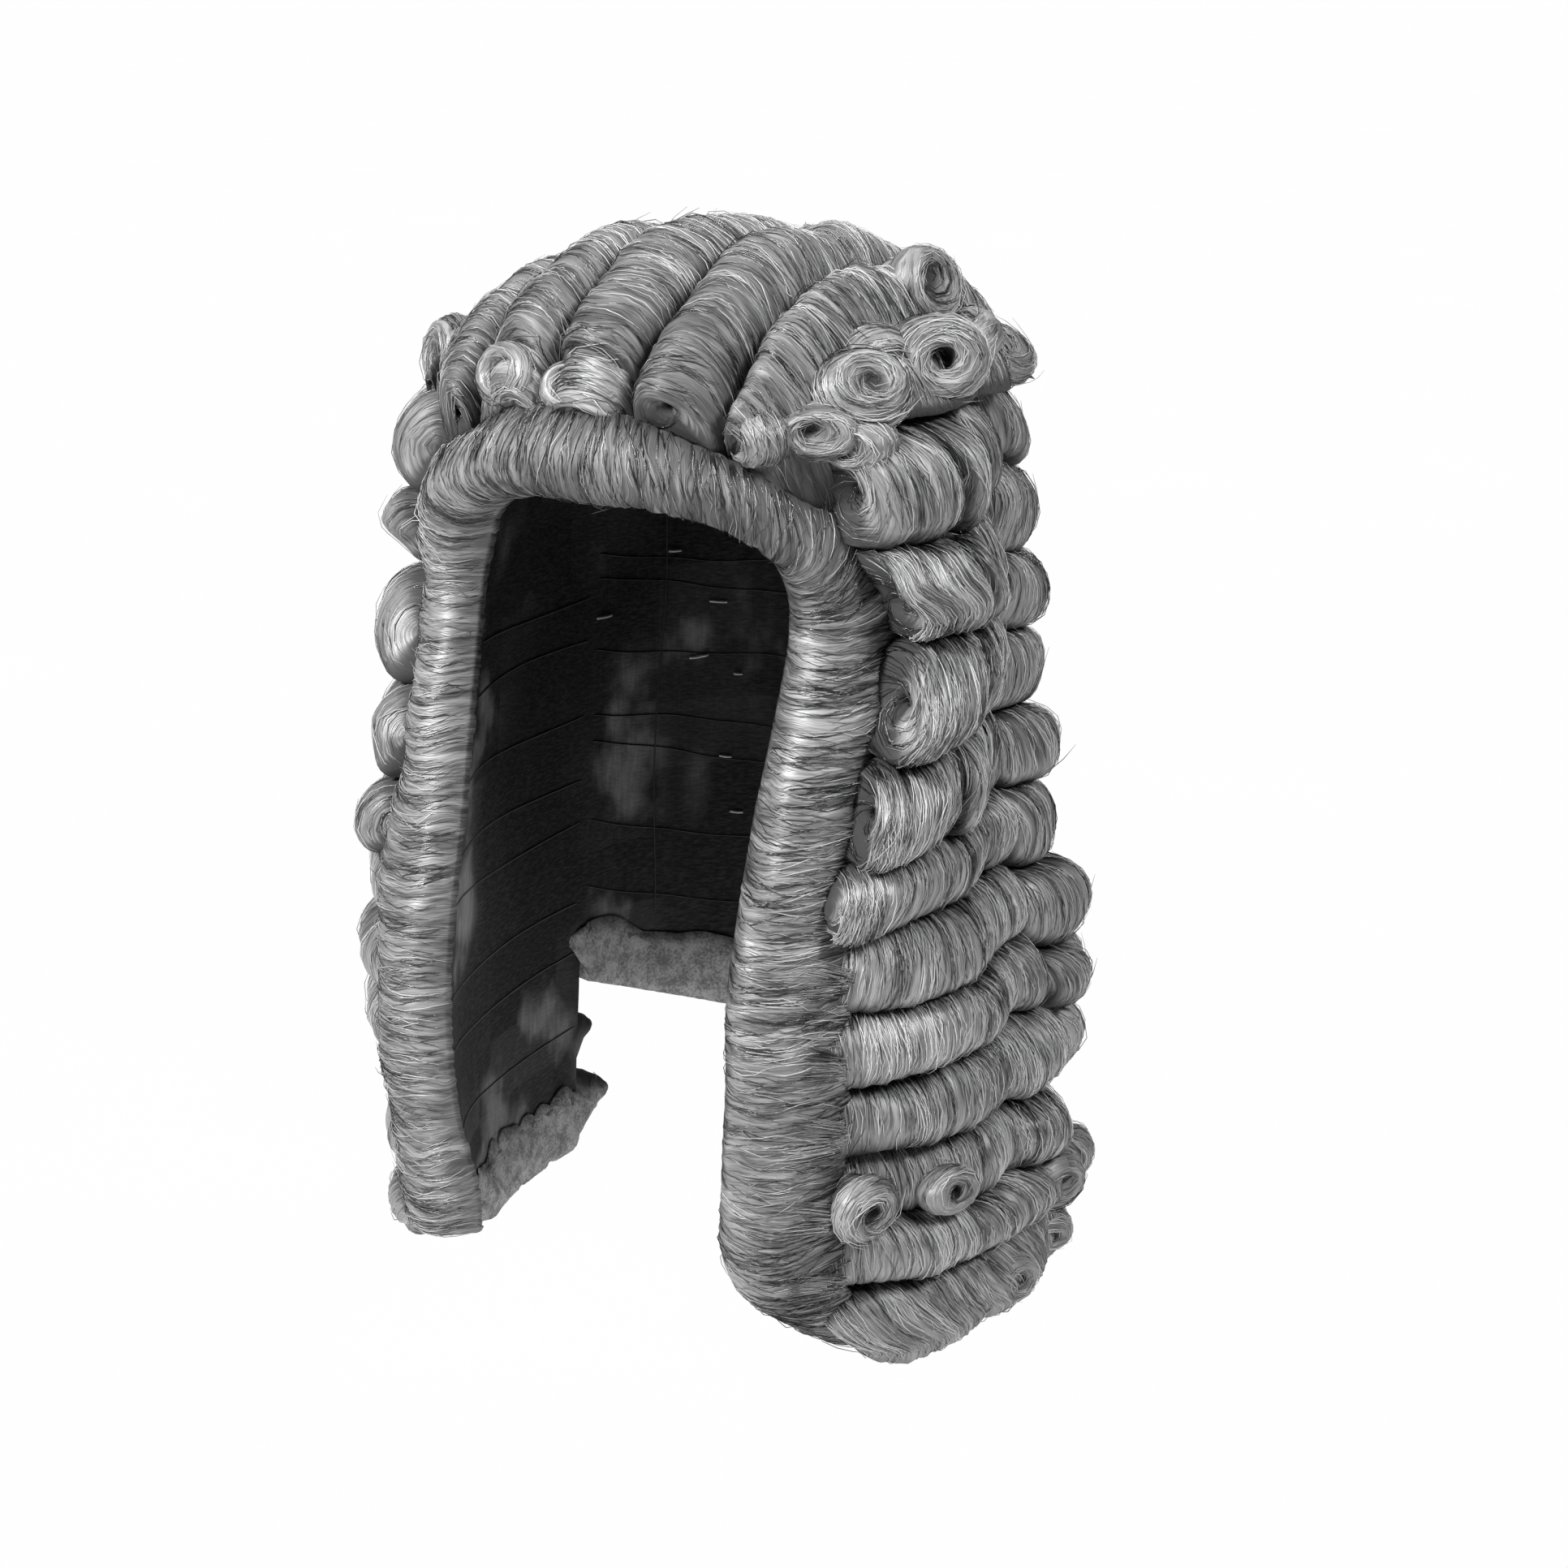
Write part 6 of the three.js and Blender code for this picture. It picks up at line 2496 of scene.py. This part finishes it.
@dataclass
class HairCoat(Piece):
    """The single strands that lie over the curls.

    Attributes:
        radius: Radius of a strand, in millimetres.
        sides: Its sides.
        tip: Its radius at the tip as a share.
    """

    radius: float = 0.22
    sides: int = 3
    tip: float = 0.3

    def build(
        self,
        name: str,
        surfaces: Sequence[HairSurface],
        strands: Strands,
        tree: StrandTree,
        finishes: Finishes,
        more: tuple[Sequence[Array], Sequence[Array]] = ((), ()),
    ) -> None:
        """Makes one object of strands.

        Args:
            name: Name of the object.
            surfaces: The surfaces that they lie on.
            strands: How they lie.
            tree: The strand nodes.
            finishes: The materials.
            more: Points and tones of further strands.
        """
        lines, tones = list(more[0]), list(more[1])
        for number, surface in enumerate(surfaces):
            found, greys = replace(strands, seed=strands.seed + number).lines(surface)
            lines.extend(found)
            tones.extend(greys)
        made = tree.grow(name, lines, self.radius, self.sides, finishes.strand, self.tip, tones)
        self.attach(made)


@dataclass(frozen=True)
class LightSpec:
    """A square soft light that faces the object.

    Attributes:
        name: Its name.
        turn: Degrees round the object from the camera.
        elevation: Degrees above the horizon.
        away: Distance, in metres.
        size: Length of a side, in metres.
        watts: Power.
    """

    name: str
    turn: float
    elevation: float
    away: float
    size: float
    watts: float


LIGHTS = (
    LightSpec("key", turn=-50, elevation=38, away=1.6, size=0.35, watts=46.0),
    LightSpec("fill", turn=46, elevation=42, away=1.9, size=0.4, watts=33.0),
    LightSpec("top", turn=165, elevation=66, away=1.5, size=1.4, watts=7.0),
)


@dataclass
class Studio:
    """Pale floor, soft light and the camera, in metres.

    Attributes:
        azimuth: Degrees that the camera stands round to the wearer's left.
        elevation: Degrees that it stands above the horizon.
        distance: Its distance from the target.
        target: The point that it looks at.
        lens: Focal length, in millimetres.
        sensor: Width of the sensor, in millimetres.
        clip: Nearest and farthest distance that it sees.
        floor: Height of the floor.
        reach: Half of the floor's width.
        ambient: Strength of the light from all round.
    """

    azimuth: float = 30.0
    elevation: float = 17.7
    distance: float = 1.1752
    target: tuple[float, float, float] = (0.01897, 0.01095, -0.21488)
    lens: float = 60.0
    sensor: float = 36.0
    clip: tuple[float, float] = (0.01, 200.0)
    floor: float = -0.60
    reach: float = 60.0
    ambient: float = 0.14

    def _aim(self, made: bpy.types.Object, azimuth: float, elevation: float, away: float) -> None:
        """Stands an object round the target and turns it to face it.

        Args:
            made: The object.
            azimuth: Degrees round to the wearer's left.
            elevation: Degrees above the horizon.
            away: Distance from the target.
        """
        a, e = math.radians(azimuth), math.radians(elevation)
        way = Vector((math.sin(a) * math.cos(e), -math.cos(a) * math.cos(e), math.sin(e)))
        made.location = Vector(self.target) + way * away
        made.rotation_mode = "QUATERNION"
        made.rotation_quaternion = (-way).to_track_quat("-Z", "Y")

    def _camera(self) -> None:
        """Adds the camera."""
        data = bpy.data.cameras.new("camera")
        data.lens, data.sensor_width = self.lens, self.sensor
        data.clip_start, data.clip_end = self.clip
        camera = place("camera", data)
        self._aim(camera, self.azimuth, self.elevation, self.distance)
        bpy.context.scene.camera = camera

    def _floor(self) -> None:
        """Adds the floor, which is no piece of the wig."""
        mesh = bpy.data.meshes.new("floor")
        signs = ((-1, -1), (1, -1), (1, 1), (-1, 1))
        corners = [(x * self.reach, y * self.reach, self.floor) for x, y in signs]
        mesh.from_pydata(corners, [], [(0, 1, 2, 3)])
        mesh.materials.append(FloorFinish().build())
        floor = place("floor", mesh)

    def _lights(self) -> None:
        """Adds the soft lights."""
        for spec in LIGHTS:
            data = bpy.data.lights.new(spec.name, "AREA")
            data.shape, data.size, data.energy = "SQUARE", spec.size, spec.watts
            light = place(spec.name, data)
            self._aim(light, self.azimuth + spec.turn, spec.elevation, spec.away)

    def _world(self) -> None:
        """Makes the surroundings white to the camera and dim to the object."""
        world = bpy.data.worlds.new("studio")
        world.use_nodes = True
        tree = world.node_tree
        background = tree.nodes["Background"]
        background.inputs["Color"].default_value = grey(1.0)
        seen = tree.nodes.new("ShaderNodeLightPath")
        strength = tree.nodes.new("ShaderNodeMapRange")
        strength.inputs["To Min"].default_value = self.ambient
        tree.links.new(seen.outputs["Is Camera Ray"], strength.inputs["Value"])
        tree.links.new(strength.outputs["Result"], background.inputs["Strength"])
        bpy.context.scene.world = world

    def build(self) -> None:
        """Sets up the whole studio."""
        self._camera()
        self._floor()
        self._lights()
        self._world()
        bpy.context.scene.view_settings.view_transform = "Standard"


def main() -> None:
    """Builds the wig piece by piece and hands it to the frame."""
    logging.basicConfig(level=logging.INFO, format="%(name)s: %(message)s")
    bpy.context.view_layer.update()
    finishes = Finishes(
        hair=HairFinish().build(),
        strand=StrandFinish().build(),
        lining=LiningFinish().build(),
        seam=ThreadFinish("dark_seam_thread", 0.008, 0.022, 0.6).build(),
        stitch=ThreadFinish("pale_stitch_thread", 0.30, 0.55, 0.35).build(),
    )
    tree = StrandTree("strands")
    lining = CapLining()
    lining.build(finishes)
    lining.dress(tree, finishes)
    face = FaceRoll().build(finishes)
    crown = CrownRolls().build(finishes)
    rows = SideRows()
    sides = rows.build(finishes)
    sides[Side.LEFT].extend(rows.dress(finishes))
    back = BackRows().build(finishes)
    coat = HairCoat()
    brushed = Strands(density=4.0, longest=36.0, loose=1.2, tone=0.38, seed=500)
    coat.build("face_strands", [face], brushed, tree, finishes)
    rolled = Strands(density=2.2, bias=0.8, tone=0.52, seed=520)
    coat.build("crown_strands", crown, rolled, tree, finishes)
    left, right = sides[Side.LEFT], sides[Side.RIGHT]
    fronts = np.cumsum([0] + [len(spec.partings) - 1 for spec in SIDE_SPECS])
    parted = fronts[UPPER_ROWS]
    for name, span in (("upper", range(UPPER_ROWS)), ("lower", range(UPPER_ROWS, len(SIDE_SPECS)))):
        swept: tuple[list[Array], list[Array]] = ([], [])
        for number in (n for n in span if n):
            spec = SIDE_SPECS[number]
            wisps = FEW_WISPS if spec.end is COILED else MANY_WISPS
            lines, tones = rows.sweeps(spec, left[fronts[number]], wisps, 800 + number)
            swept[0].extend(lines)
            swept[1].extend(tones)
        chosen = left[:parted] if name == "upper" else left[parted:]
        strands = Strands(density=3.7, tone=0.64, seed=560 + 40 * span.start)
        coat.build(f"left_{name}_strands", chosen, strands, tree, finishes, swept)
    coat.build("right_strands", right, Strands(density=0.8, tone=0.6, seed=640), tree, finishes)
    coat.build("back_strands", back, Strands(density=0.36, bias=4.0, seed=700), tree, finishes)
    Studio().build()


if __name__ == "__main__":
    main()
